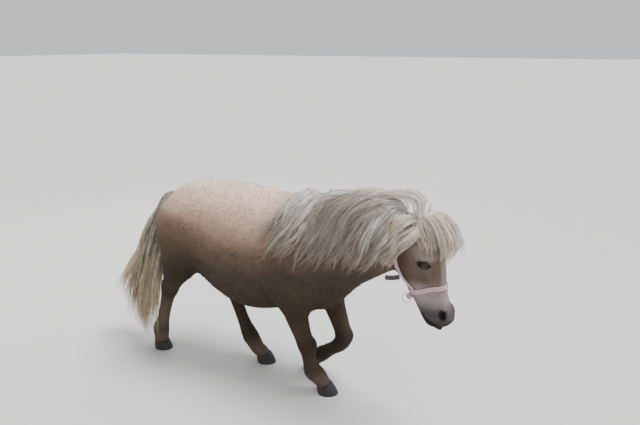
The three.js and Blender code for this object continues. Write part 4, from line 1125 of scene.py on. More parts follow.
archLine = np.array([(-22, -6, 128), (-6, -12, 152), (4, -14, 178), (6, -14, 202), (12, -14, 226), (24, -14, 249),
                     (18, -14, 271), (-11, -14, 288), (-50, -14, 294), (-105, -15, 297), (-162, -17, 297),
                     (-222, -20, 293), (-283, -24, 286)]) / 1000
arch = {
    "guides": 18, "locks": 3, "strands": 8, "lockWidth": 0.009, "strandSpread": 0.0046, "wave": 0.005,
    "hair": 0.0026, "stations": 18, "thin": 0.8, "narrow": 0.2, "shade": 0.12, "vary": 0.12, "trim": 0.10,
    "light": (0.95, 0.89, 0.82), "dark": (0.40, 0.31, 0.23), "tip": (0.90, 0.84, 0.76),
}


def archGuides():
    n = arch["guides"]
    k = np.arange(n)[:, None]
    path = np.repeat(archLine[None], n, 0)
    high = np.clip((path[:, :, 2] - 0.15) / 0.1, 0, 1)
    path[:, :, 0] += (-0.0085 * (k % 3) + dice.normal(0, 0.003, (n, 1))) * high
    path[:, :, 1] += (-0.009 * (k // 3) + 0.009 + dice.normal(0, 0.003, (n, 1))) * high
    path[:, :, 2] -= (0.0075 * (k % 3) + dice.normal(0, 0.002, (n, 1))) * high
    end = dice.uniform(0.84, 1.0, (n, 1))
    path = fromHead(alongPath(path, np.linspace(0, 1, 26)[None] * end))
    return path, unit(path - fromHead([-0.05, -0.014, 0.24]))


guides, away = archGuides()
places = (np.arange(len(guides)) + 0.5) / len(guides)
growHair("arch_locks", guides, away, places, 0.5 + 0 * places, arch, (), hairCoat, 31, None, 0)

tailLine = np.array([(-486, 0, 836), (-538, 0, 846), (-592, 2, 806), (-642, 4, 720), (-684, 6, 620), (-724, 8, 500),
                     (-770, 8, 370), (-810, 8, 240)]) / 1000
tailSpread = np.array([    # height, rear, front, side
    (20, -960, -588, 36), (100, -1010, -588, 40), (200, -1024, -590, 44), (300, -1000, -572, 48),
    (400, -920, -560, 50), (500, -825, -560, 50), (620, -748, -598, 46), (715, -698, -588, 38),
    (800, -632, -560, 26), (846, -560, -535, 10)]) / 1000
tail = {
    "guides": 128, "locks": 5, "strands": 9, "lockWidth": 0.020, "strandSpread": 0.0085, "wave": 0.011,
    "hair": 0.0030, "stations": 10, "thin": 0.6, "narrow": 0.0, "shade": 0.46, "vary": 0.18, "fade": 0.85, "trim": 0.34,
    "light": (0.84, 0.78, 0.70), "dark": (0.110, 0.085, 0.074), "tip": (0.66, 0.54, 0.34),
}


def tailCore():
    # the dock under the hair: a tapering tube along the line of the tail
    bulk = np.array([(0, 24, 26), (0.15, 28, 32), (0.35, 30, 36), (0.6, 30, 32), (0.85, 18, 18),
                     (1, 3, 3)]) / (1, 1000, 1000)
    t = np.linspace(0, 1, 30)
    path = alongPath(tailLine[None], (t * 0.6)[None])[0]
    ring = np.linspace(0, 2 * np.pi, 16, endpoint=False)
    along = unit(np.gradient(path, axis=0))
    across = np.array([0, 1.0, 0])
    ahead = np.cross(across, along)
    deep, side = np.interp(t, bulk[:, 0], bulk[:, 1]), np.interp(t, bulk[:, 0], bulk[:, 2])
    rings = path[:, None] + ahead[:, None] * (deep[:, None] * 0.8 * np.cos(ring))[..., None] \
        + across * (side[:, None] * 0.8 * np.sin(ring))[..., None]
    verts, quads, tris = closedTube(rings)
    obj = meshFrom("tail_dock", verts, [quads, tris])
    paint(obj, "coat", np.tile(np.array([0.20, 0.15, 0.11]), (len(verts), 1)))
    return obj


def tailGuides():
    n = tail["guides"]
    i = np.arange(n)
    turn = i * 2.4
    out = np.sqrt((i + 0.5) / n)
    fore = 0.54 + 0.46 * out * np.cos(turn)
    side = out * np.sin(turn)
    start = alongPath(tailLine[None], ((i * 0.618) % 1 * 0.36 + 0.08)[None])[0]
    start = start + np.stack([-0.006 + 0.012 * fore, 0.018 * side, 0 * side], 1)
    tip = lerp(0.225, 0.030, smooth(fore, 0.12, 0.42)) + 0.045 * smooth(fore, 0.6, 0.9) \
        + dice.uniform(0, 0.10, n) * np.where(i % 3 == 0, 1.8, 0.5)
    rows = [start + np.array([0.010, 0, 0.006]), start]
    for k in range(1, 9):
        z = lerp(start[:, 2], tip, k / 8)
        rear, front, wide = (np.interp(z, tailSpread[:, 0], tailSpread[:, c]) for c in (1, 2, 3))
        spread = np.clip(k / 2.4, 0, 1)
        x = lerp(start[:, 0] - 0.026 * k, lerp(rear, front, fore), spread)
        y = lerp(start[:, 1], side * wide, spread) + dice.normal(0, 0.002, n) * k
        # the foremost hang beside the leg, not through it
        y = lerp(y, -0.112 - 0.02 * np.abs(side), smooth(fore, 0.58, 0.78) * smooth(0.62 - z, 0, 0.2))
        rows.append(np.stack([x + dice.normal(0, 0.0015, n) * k, y, z], 1))
    path = alongPath(np.stack(rows, 1), np.tile(np.linspace(0, 1, 18), (n, 1)))
    facing = np.stack([(fore - 0.5) * 1.6, side * 1.4 + 0.05, np.full(n, 0.3)], 1)
    path[:, :, 0] = np.maximum(path[:, :, 0], -1.015 + 0.02 * (path[:, :, 0] + 1.015))
    # rear-edge strands painted lighter and the middle and front ones darker: partly the hair's own colour, partly
    # painted shade inside the tail
    bias = -0.55 * (1 - smooth(fore, 0.08, 0.30)) + 0.25 * smooth(fore, 0.35, 0.6) - 0.15 * smooth(fore, 0.85, 1.0)
    return path, np.repeat(unit(facing)[:, None], 18, 1), bias


dock = tailCore()
give(dock, hairCoat, ("tail",))
guides, away, bias = tailGuides()
places = (np.arange(len(guides)) + 0.5) / len(guides)
growHair("tail_locks", guides, away, places, 0.5 + 0 * places, tail, (), hairCoat, 41, None, 0, pieces=2,
         bias=bias)

# Ears: leaves with a cup, from the same sections as the solids, walls 3 mm thick
ears = {
    "right": {"base": (-26, -42, 138), "tip": (-32, -80, 229), "open": (0.35, -0.8, -0.3)},
    "left": {"base": (-8, 40, 140), "tip": (6, 70, 232), "open": (0.75, 0.45, -0.3)},
}
earLook = {
    "length": 0.096, "wall": 0.0032,
    "outside": (0.66, 0.57, 0.48), "inside": (0.38, 0.30, 0.25), "rim": (0.68, 0.60, 0.52),
}
earSections = np.array([      # along, half width, half depth, set back
    (-0.2, 14, 12, 0), (0, 16, 13, 0), (0.22, 18, 13, 2), (0.45, 18, 11, 4), (0.7, 13, 8, 4), (0.9, 6.5, 5, 1),
    (1, 1.4, 1.4, -2)])


def earFrame(ear):
    base, tip = np.array(ear["base"]) / 1000, np.array(ear["tip"]) / 1000
    up = unit(tip - base)
    ahead = unit(np.array(ear["open"]) - up * (np.array(ear["open"]) @ up))
    return base, ahead, np.cross(up, ahead), up


def earPoint(ear, t, around, wall):
    # around runs from -1 to 1 from edge to edge over the back; wall moves it to the inner face
    base, ahead, across, up = earFrame(ear)
    wide, deep, back = (np.interp(t, earSections[:, 0], earSections[:, k]) / 1000 for k in (1, 2, 3))
    close = np.interp(t, [-0.2, 0.0, 0.18, 0.4, 1.0], [172, 168, 128, 104, 98])
    a = np.radians(around * close)
    w = np.maximum(wide - wall, 0.0004)
    d = np.maximum(deep - wall, 0.0004)
    local = ahead * (-np.cos(a) * d - back)[..., None] + across * (np.sin(a) * w)[..., None]
    return fromHead(base + local + up * (earLook["length"] * t)[..., None])


def buildEar(side):
    ear = ears[side]
    t, around = np.meshgrid(np.linspace(-0.2, 1.0, 40), np.linspace(-1, 1, 25), indexing="ij")
    outer = earPoint(ear, t, around, 0 * t)
    inner = earPoint(ear, t, around * 0.97, earLook["wall"] * np.clip((1 - t) * 4, 0.15, 1))
    rings = np.concatenate([outer, inner[:, ::-1]], 1)
    verts, quads, tris = closedTube(rings)
    if side == "right":
        quads, tris = quads[:, ::-1], tris[:, ::-1]
    obj = meshFrom("ear_" + side + "_leaf", verts, [quads, tris])
    look = {key: np.array(earLook[key]) for key in ("outside", "inside", "rim")}
    edge = np.abs(around) ** 6
    colors = np.concatenate([lerp(look["outside"], look["rim"], edge[..., None]),
                             lerp(look["inside"], look["rim"], edge[:, ::-1, None])], 1).reshape(-1, 3)
    paint(obj, "coat", np.concatenate([colors, colors[:1], colors[-1:]]))
    faceOut(obj)
    return give(obj, coatMaterial("earCoat_" + side, 0.85, (260, 260, 90), 0.001), ("ear_" + side,))


def earHair(side):
    # long fine hair out of the cup and a fringe along the rim
    ear = ears[side]
    r = np.random.default_rng(70 + len(side))
    base, ahead, across, up = earFrame(ear)
    n = int(260 * fine)
    t = r.uniform(0.02, 0.86, n)
    around = r.choice([-1, 1], n) * np.sqrt(r.uniform(0.05, 1, n))
    root = earPoint(ear, t, around * 0.97, 0.0028 + 0 * t)
    out, upWay, acrossWay = headWay(ahead), headWay(up), headWay(across)
    length = r.uniform(0.010, 0.024, n) * (1 - 0.5 * t)
    way = unit(upWay * 0.75 + out * r.uniform(0.2, 0.7, (n, 1)) - acrossWay * (around * 0.25)[:, None]
               + r.normal(0, 0.13, (n, 3)))
    k = np.linspace(0, 1, 6)[None, :, None]
    path = root[:, None] + way[:, None] * length[:, None, None] * k \
        + (upWay - out * 0.4) * length[:, None, None] * 0.35 * k ** 2
    tones = hairTones(n, 6, (0.86, 0.78, 0.68), (0.56, 0.46, 0.38), (0.86, 0.78, 0.68), 0.3, 71, 0.5)
    width = r.uniform(0.0009, 0.0016, n)
    obj = hairMesh("ear_" + side + "_hair", path, np.broadcast_to(out, path.shape), width, tones,
                   np.stack([(around + 1) / 2, t], 1))
    return give(obj, hairCoat, ())


for side in ("right", "left"):
    buildEar(side)
    earHair(side)
print("ears done")

# Eyes: a wet ball with a low dome of cornea, brown iris and a pupil that lies level
eyeLook = {
    "ball": 0.0214, "dome": 0.0013, "iris": 0.0168, "pupil": (0.0095, 0.0042),
    "white": (0.020, 0.015, 0.013), "brown": (0.030, 0.016, 0.009), "rim": (0.006, 0.005, 0.004),
    "black": (0.0165, 0.019, 0.025),
}


def buildEye(side):
    # rings of latitude about the axis of sight; the colours are painted by the distance from it
    sign = -1 if side == "right" else 1
    lat, lon = np.meshgrid(np.linspace(0.002, np.pi - 0.002, 90), np.linspace(0, 2 * np.pi, 96, endpoint=False),
                           indexing="ij")
    far = np.sin(lat)
    r = eyeLook["ball"] + eyeLook["dome"] * np.exp(-(lat / 0.62) ** 4)
    x, z, y = far * np.cos(lon) * r, far * np.sin(lon) * r, np.cos(lat) * r
    turn = turned(2, sign * -14.0) @ turned(0, sign * -6.0)       # looks ahead and a little down
    local = np.stack([x, sign * y, z], -1) @ turn.T + np.array(eye["place"]) * (1, sign, 1)
    verts, quads, tris = closedTube(fromHead(local))
    if side == "right":
        quads, tris = quads[:, ::-1], tris[:, ::-1]
    obj = meshFrom("eyeball_" + side, verts, [quads, tris])
    radius = np.where(lat < np.pi / 2, np.hypot(x, z), 1)
    c = {key: np.array(eyeLook[key]) for key in ("white", "brown", "rim", "black")}
    rays = 0.5 + 0.5 * np.sin(lon * 23 + 2 * np.sin(lon * 7)) * np.sin(lon * 41)
    brown = c["brown"] * (0.7 + 0.9 * rays * smooth(radius, 0.006, 0.014))[..., None]
    pupil = np.hypot(x / eyeLook["pupil"][0], z / eyeLook["pupil"][1])
    colors = lerp(c["black"], brown, smooth(pupil, 0.9, 1.12)[..., None])
    colors = lerp(colors, c["rim"], smooth(radius, 0.0142, 0.0164)[..., None])
    colors = lerp(colors, c["white"], smooth(radius, eyeLook["iris"], eyeLook["iris"] + 0.002)[..., None])
    colors = colors.reshape(-1, 3)
    paint(obj, "coat", np.concatenate([colors, colors[:1], colors[-1:]]))
    material, tree, shader, place = newMaterial("wetEye_" + side, 0.10, Coat_Weight=0.1, Coat_Roughness=0.03,
                                                Specular_IOR_Level=0.22)
    plug(tree, shader, "Base Color", attribute(place, "coat"))
    return give(obj, material, ("eye_" + side,))


def lashes(side):
    # a fringe of dark lashes on the upper lid, pointing out and down
    sign = -1 if side == "right" else 1
    r = np.random.default_rng(90)
    n = 46
    a = np.radians(np.linspace(28, 152, n) + r.normal(0, 1.5, n))
    e = np.stack([np.cos(a) * eye["long"] * 0.98, np.full(n, 0.0198), np.sin(a) * eye["high"] * 0.98], 1) @ eyeTilt.T
    way = np.stack([np.cos(a) * 0.35, np.full(n, 0.9), 0.35 + 0 * a], 1) @ eyeTilt.T
    root = e + np.array(eye["place"])
    k = np.linspace(0, 1, 6)[None, :, None]
    length = r.uniform(0.008, 0.012, n)[:, None, None]
    path = root[:, None] + unit(way)[:, None] * length * k + np.array([0, 0.15, -0.75]) * length * k ** 2
    path = path * (1, sign, 1)
    tones = np.tile(np.array([0.05, 0.035, 0.028]), (n, 6, 1))
    obj = hairMesh("lashes_" + side, fromHead(path), np.broadcast_to(np.array([0.3, 0.1, 0.9]), path.shape),
                   np.full(n, 0.0009), tones, np.stack([np.linspace(0, 1, n), 0.5 + 0 * a], 1))
    return give(obj, hairCoat, ())


for side in ("right", "left"):
    buildEye(side)
    lashes(side)
print("eyes done")

# Hooves: wall from the sole to the slanting coronet, with growth rings, and a hollow sole with a frog
hoofLook = {
    "height": 0.052, "crownSlope": 20.0, "sole": (0.056, 0.040, 0.045), "crown": (0.020, 0.050, 0.037),
    "rings": 9, "ripple": 0.00035, "bulge": 0.0016, "dish": 0.006,
    "wall": (0.017, 0.014, 0.015), "pale": (0.028, 0.023, 0.023), "dirt": (0.034, 0.027, 0.023),
}


def hoofRing(part, a, shrink=0.0):
    # oval of a height: toe, heel and side reach pass from the sole's to the coronet's
    toe, heel, side = (lerp(hoofLook["sole"][k], hoofLook["crown"][k], part) - shrink for k in range(3))
    c = np.cos(a)
    x = c * np.where(c > 0, toe, heel)
    y = np.sin(a) * side
    crown = hoofLook["height"] + math.tan(math.radians(hoofLook["crownSlope"])) * (x - hoofLook["crown"][0])
    return x, y, part * crown


def buildHoof(name):
    a = np.linspace(0, 2 * np.pi, 72, endpoint=False)
    rows, tones = [], []
    wall = np.array(hoofLook["wall"])
    pale = np.array(hoofLook["pale"])
    sole = [(0.0, 0.030), (0.85, 0.022), (0.95, 0.010), (0.25, 0.0075), (0.0, 0.0060), (0.0, 0.0012)]
    for lift, inward in sole:        # from the middle of the sole out to the edge of the wall
        x, y, z = hoofRing(0 * a, a, inward)
        frog = np.exp(-(y / 0.009) ** 2) * (x < 0.012) * 0.85
        rows.append(np.stack([x, y, lift * hoofLook["dish"] * (1 - frog) + 0 * a], 1))
        tones.append(np.tile(lerp(wall, np.array(hoofLook["dirt"]), 0.55), (len(a), 1)))
    for part in np.concatenate([[0.035], np.linspace(0.07, 1.0, 40)]):
        x, y, z = hoofRing(part + 0 * a, a)
        swell = hoofLook["bulge"] * math.sin(math.pi * part) + hoofLook["ripple"] * math.sin(
            2 * math.pi * hoofLook["rings"] * part) * math.sin(math.pi * part)
        out = unit(np.stack([x, y, 0 * x], 1)) * swell
        rows.append(np.stack([x, y, z], 1) + out)
        band = 0.5 + 0.5 * math.sin(2 * math.pi * hoofLook["rings"] * part * 0.7 + 1.2)
        streak = 0.5 + 0.5 * np.sin(a * 31 + 3 * np.sin(a * 5))
        low = max(0.0, 1 - part * 5)
        c = lerp(wall, pale, np.clip(0.20 * band + 0.22 * streak + 0.5 * max(0, part - 0.86) * 6, 0, 1)[:, None])
        tones.append(lerp(c, np.array(hoofLook["dirt"]), 0.45 * low))
    x, y, z = hoofRing(1 + 0 * a, a, 0.006)
    rows.append(np.stack([x, y, z + 0.0010], 1))
    tones.append(np.tile(wall, (len(a), 1)))
    verts, quads, tris = closedTube(np.stack([hoofPlace(name, row) for row in rows]))
    verts[:, 2] = np.maximum(verts[:, 2], 0.0)
    obj = meshFrom("hoof_" + name + "_horn", verts, [quads, tris])
    c = np.concatenate(tones)
    paint(obj, "coat", np.concatenate([c, c[:1], c[-1:]]))
    return give(obj, hoofMaterial, ("hoof_" + name,))


hoofMaterial, tree, shader, place = newMaterial("hoofHorn", 0.55, Specular_IOR_Level=0.4)
grain = noise(scaled(place, (900, 900, 60)), 1.0, 3.0)
dust = noise(place, 60.0, 4.0)
plug(tree, shader, "Base Color", dust.step(0.45, 0.80).mix(attribute(place, "coat"), (0.060, 0.050, 0.042)))
plug(tree, shader, "Roughness", dust * 0.35 + 0.40)
plug(tree, shader, "Normal", bump(grain * 0.5 + dust * 0.5, 0.35, 0.0006))
for name in hooves:
    buildHoof(name)
print("hooves done")

# Head collar: webbing laid on the skin, with stitching along its edges, and metal rings
webbing = {"width": 0.020, "thick": 0.0024, "clear": 0.0006, "edge": 0.0008}
nosebandGuides = np.array([(-64, -46, -112), (-20, -60, -108), (34, -46, -102), (62, 0, -99), (34, 46, -102),
                           (-20, 60, -108), (-64, 46, -112)]) / 1000
headstrapSide = np.array([(-58, 46, -106), (-76, 54, -76), (-94, 60, -38), (-106, 66, 20), (-100, 68, 70),
                          (-88, 58, 112), (-84, 30, 146)]) / 1000
headstrapGuides = np.concatenate([headstrapSide * (1, -1, 1), [(-0.082, 0, 0.158)], headstrapSide[::-1]])
chinGuides = np.array([(-90, -34, -130), (-112, -26, -146), (-124, 0, -154), (-112, 26, -146),
                       (-90, 34, -130)]) / 1000
strapEndGuides = np.array([(-115, -57, -50), (-148, -62, -54), (-180, -66, -52)]) / 1000


def strapLine(guides, count, fitted=True):
    t = np.linspace(0, 1, count)
    path = fromHead(alongPath(guides[None], t[None])[0])
    for _ in range(3):          # evenly spaced stations
        far = np.concatenate([[0], np.cumsum(np.linalg.norm(np.diff(path, axis=0), axis=1))])
        path = np.stack([np.interp(np.linspace(0, far[-1], count), far, path[:, k]) for k in range(3)], 1)
    if fitted:
        level = webbing["clear"] + webbing["thick"] / 2
        for _ in range(4):
            g = unit(slope(skinField, path))
            path = path + g * np.clip(level - skinField(path), -0.012, 0.02)[:, None]
        for _ in range(6):
            path[1:-1] = 0.5 * path[1:-1] + 0.25 * (path[2:] + path[:-2])
        path = path + unit(slope(skinField, path)) * np.maximum(level - skinField(path), 0)[:, None]
    return path, unit(slope(skinField, path, 0.006))


def strapMesh(name, path, normal, material, replaces, slot, fold=0.0):
    # flat strip with rounded edges: a profile of 14 points carried along the path
    along = unit(np.gradient(path, axis=0))
    out = unit(normal - along * (normal * along).sum(1, keepdims=True))
    side = np.cross(along, out)
    w, h, e = webbing["width"] / 2, webbing["thick"] / 2, webbing["edge"]
    u = np.array([-w, -w + e, -w * 0.6, -w * 0.2, w * 0.2, w * 0.6, w - e, w,
                  w, w - e, w * 0.3, -w * 0.3, -w + e, -w])
    v = np.array([h * 0.4, h, h, h, h, h, h, h * 0.4, -h * 0.4, -h, -h, -h, -h, -h * 0.4])
    ring = path[:, None] + side[:, None] * u[None, :, None] + out[:, None] * v[None, :, None]
    # the strip bends with what it lies on
    drop = skinField(ring.reshape(-1, 3)).reshape(ring.shape[:2])
    base = np.where(v > 0, 0.0004 + webbing["thick"], 0.0004)
    ring = ring + out[:, None] * np.maximum(base - drop, 0)[..., None]
    verts, quads, tris = closedTube(ring[:, ::-1])
    obj = meshFrom(name, verts, [quads, tris])
    faceOut(obj)
    far = np.concatenate([[0], np.cumsum(np.linalg.norm(np.diff(path, axis=0), axis=1))])
    uv = np.stack([np.repeat(far, len(u)), np.tile(u[::-1], len(far))], 1)
    uv = np.concatenate([uv, uv[:1] * (1, 0), uv[-1:] * (1, 0)])
    uvMap(obj, "weave", uv)
    return give(obj, material, replaces)


def webMaterial(name, color, worn, thread):
    material, tree, shader, place = newMaterial(name, 0.8, Sheen_Weight=0.3, Sheen_Roughness=0.5)
    uv = place.out(place.node("ShaderNodeUVMap", {"uv_map": "weave"}))
    parts = uv.node("ShaderNodeSeparateXYZ", {}, Vector=uv)
    u, v = uv.out(parts, 0), uv.out(parts, 1)
    warp = (v * 4200.0).math("SINE") * 0.5 + 0.5
    weft = (u * 3400.0 + (v * 2100.0).math("SINE") * 1.2).math("SINE") * 0.5 + 0.5
    dirt = noise(place, 45.0, 4.0)
    fromEdge = v.math("ABSOLUTE")
    seam = (fromEdge - 0.0072).math("ABSOLUTE").step(0.0004, 0.0009)
    dash = (u * 1400.0).math("SINE").step(-0.3, 0.1)
    stitch = (1 - seam) * dash
    base = (weft * 0.4 + warp * 0.2 + dirt * 0.4).step(0.2, 0.8).mix(tuple(0.72 * c for c in color), color)
    base = (dirt * (fromEdge * 60 + 0.6)).step(0.42, 0.80).mix(base, worn)
    plug(tree, shader, "Base Color", (stitch * 0.7).mix(base, thread))
    plug(tree, shader, "Normal", bump(weft * 0.5 + warp * 0.3 + stitch * 1.2, 0.6, 0.0005))
    return material


web = webMaterial("pinkWebbing", (0.56, 0.34, 0.38), (0.42, 0.30, 0.30), (0.68, 0.50, 0.52))
# the strap end is the pink webbing painted dark: painted shade
shadedWeb = webMaterial("darkWebbing", (0.085, 0.055, 0.060), (0.13, 0.10, 0.095), (0.16, 0.11, 0.12))
metal, tree, shader, place = newMaterial("brushedMetal", 0.28, 1.0)
scratch = noise(place, 900.0, 2.0)
plug(tree, shader, "Base Color", noise(place, 70.0).mix((0.60, 0.59, 0.57), (0.74, 0.73, 0.71)))
plug(tree, shader, "Roughness", scratch * 0.25 + 0.18)
plug(tree, shader, "Normal", bump(scratch, 0.15, 0.0002))

chinLine, chinNormal = strapLine(chinGuides, 44, False)
chinNormal = unit(chinLine - fromHead([-0.060, 0, -0.120]))
endLine, endNormal = strapLine(strapEndGuides, 24, False)
endNormal = np.tile(headWay([0.1, -1, 0.25]), (24, 1))
strapMesh("noseband", *strapLine(nosebandGuides, 110), web, ("halter_noseband",), "halter_webbing")
strapMesh("headstrap", *strapLine(headstrapGuides, 260), web, ("halter_headstrap",), "halter_webbing")
strapMesh("chin_strap", chinLine, chinNormal, web, ("halter_chin_strap",), "halter_webbing")
strapMesh("strap_end", endLine, endNormal, shadedWeb, ("halter_strap_end",), "halter_dark_webbing")


def ringMesh(name, half, squareness, wire, center, normal, up, replaces):
    # a wire of round section along a rounded square (or a circle), facing the normal
    z = unit(np.asarray(normal))
    y = unit(up - z * (up @ z))
    x = np.cross(y, z)
    a = np.linspace(0, 2 * np.pi, 96, endpoint=False)
    px, py = half * power(np.cos(a), squareness), half * power(np.sin(a), squareness)
    line = np.stack([px, py], 1)
    for _ in range(3):
        far = np.concatenate([[0], np.cumsum(np.linalg.norm(np.diff(np.vstack([line, line[:1]]), axis=0), axis=1))])
        even = np.linspace(0, far[-1], 97)[:-1]
        looped = np.vstack([line, line[:1]])
        line = np.stack([np.interp(even, far, looped[:, k]) for k in range(2)], 1)
    ahead = np.roll(line, -1, 0) - np.roll(line, 1, 0)
    out = unit(np.stack([ahead[:, 1], -ahead[:, 0]], 1))
    b = np.linspace(0, 2 * np.pi, 14, endpoint=False)
    flat = line[:, None] + out[:, None] * (np.cos(b) * wire / 2)[None, :, None]
    deep = np.broadcast_to(np.sin(b) * wire / 2, flat.shape[:2])
    p = center + x * flat[..., :1] + y * flat[..., 1:] + z * deep[..., None]
    i, j = np.meshgrid(np.arange(96), np.arange(14), indexing="ij")
    quads = np.stack([i * 14 + j, ((i + 1) % 96) * 14 + j, ((i + 1) % 96) * 14 + (j + 1) % 14, i * 14 + (j + 1) % 14],
                     -1).reshape(-1, 4)
    obj = meshFrom(name, p.reshape(-1, 3), [quads])
    faceOut(obj)
    return give(obj, metal, replaces)


for side, sign in (("right", -1), ("left", 1)):
    center = middleOf("halter_ring_" + side) - shift
    normal = unit(slope(skinField, center[None], 0.004))[0]
    ringMesh("ring_" + side, 0.0113, 0.35, 0.0044, center, normal, np.array([0, 0, 1.0]), ("halter_ring_" + side,))
center = middleOf("halter_lead_ring") - shift
down = unit(center - fromHead([-0.060, 0, -0.120]))
ringMesh("lead_ring", 0.020, 1.0, 0.0044, center, headWay([0, 1, 0]), down, ("halter_lead_ring",))
print("halter done")

# Short coat: bent three-sided spikes rooted on the skin, lying along the body
fur = {
    "count": 56000, "pieces": 4, "width": 0.0027,
    "torso": 0.0125, "rump": 0.010, "belly": 0.021, "chest": 0.019, "neck": 0.015, "throat": 0.018, "leg": 0.008,
    "fetlock": 0.020, "face": 0.0048, "muzzle": 0.0026,
}


def lieOf(p, normal, kind, place):
    # the way the hair runs: back and down on the body, down the legs, down the face
    x, z = p[:, 0], p[:, 2]
    lie = np.tile(np.array([-0.95, 0, -0.42]), (len(p), 1))
    lie = lerp(lie, np.array([-0.30, 0, -1.0]), smooth(-x, 0.36, 0.52)[:, None])
    lie = lerp(lie, np.array([-0.55, 0, -0.85]), smooth(x, 0.16, 0.36)[:, None])
    lie = lerp(lie, np.array([-0.75, 0, -0.25]), (smooth(-normal[:, 2], 0.5, 0.9) * (kind == 0))[:, None])
    for k, name in enumerate(legRows):
        pick = kind == 3 + k
        rows = legDense[name][:, :3]
        down = unit(np.gradient(rows, axis=0))
        i = np.clip((place[pick] * (len(rows) - 1)).astype(int), 0, len(rows) - 1)
        lie[pick] = lerp(lie[pick], down[i], (1 - smooth(z[pick], 0.36, 0.50))[:, None])
    h = toHead(p)
    face = headWay(np.stack([-0.35 * smooth(-h[:, 0], 0.0, 0.08), 0 * h[:, 1], np.full(len(p), -1.0)], 1))
    lie = lerp(lie, face, (smooth(x, 0.70, 0.76) * (kind == 2))[:, None])
    return unit(lie - normal * (lie * normal).sum(1, keepdims=True))


def furLength(p, normal, kind):
    x, z = p[:, 0], p[:, 2]
    h = toHead(p)
    length = np.full(len(p), fur["torso"])
    length = lerp(length, fur["rump"], smooth(-x, 0.2, 0.4))
    length = lerp(length, fur["belly"], smooth(-normal[:, 2], 0.2, 0.8) * smooth(z, 0.28, 0.34))
    length = lerp(length, fur["chest"], smooth(x, 0.34, 0.42) * (1 - smooth(z, 0.55, 0.65)))
    length = lerp(length, fur["neck"], smooth(x, 0.38, 0.5) * smooth(z, 0.55, 0.65))
    length = lerp(length, fur["leg"], 1 - smooth(z, 0.30, 0.46))
    for center in ((0.285, -0.084, 0.11), (0.30, 0.09, 0.13), (-0.655, -0.068, 0.12), (-0.185, 0.072, 0.12)):
        far = np.linalg.norm(p - np.array(center), axis=1)
        length = lerp(length, fur["fetlock"], 0.9 * (1 - smooth(far, 0.03, 0.07)))
    face = (kind == 2) * smooth(x, 0.70, 0.75)
    length = lerp(length, fur["face"], face)
    length = lerp(length, fur["throat"], face * smooth(-h[:, 0], 0.085, 0.12) * (1 - smooth(h[:, 2], -0.02, 0.06))
                  * smooth(h[:, 2], -0.20, -0.12))
    length = lerp(length, fur["muzzle"], face * (1 - smooth(h[:, 2], -0.20, -0.15)))
    return length


def atlas(kind, place, angle):
    # the skin's own unwrap: torso, neck, head and the four legs side by side
    turn = (angle / (2 * np.pi)) % 1
    corner = np.array([(0, 0, 0.5, 0.5), (0.5, 0, 0.5, 0.5), (0, 0.5, 0.5, 0.5), (0.5, 0.5, 0.125, 0.5),
                       (0.625, 0.5, 0.125, 0.5), (0.75, 0.5, 0.125, 0.5), (0.875, 0.5, 0.125, 0.5)])[kind]
    swap = kind < 3
    u = np.where(swap, place, turn)
    v = np.where(swap, turn, place)
    return np.stack([corner[:, 0] + u * (corner[:, 2] - 0.004), corner[:, 1] + v * (corner[:, 3] - 0.004)], 1)


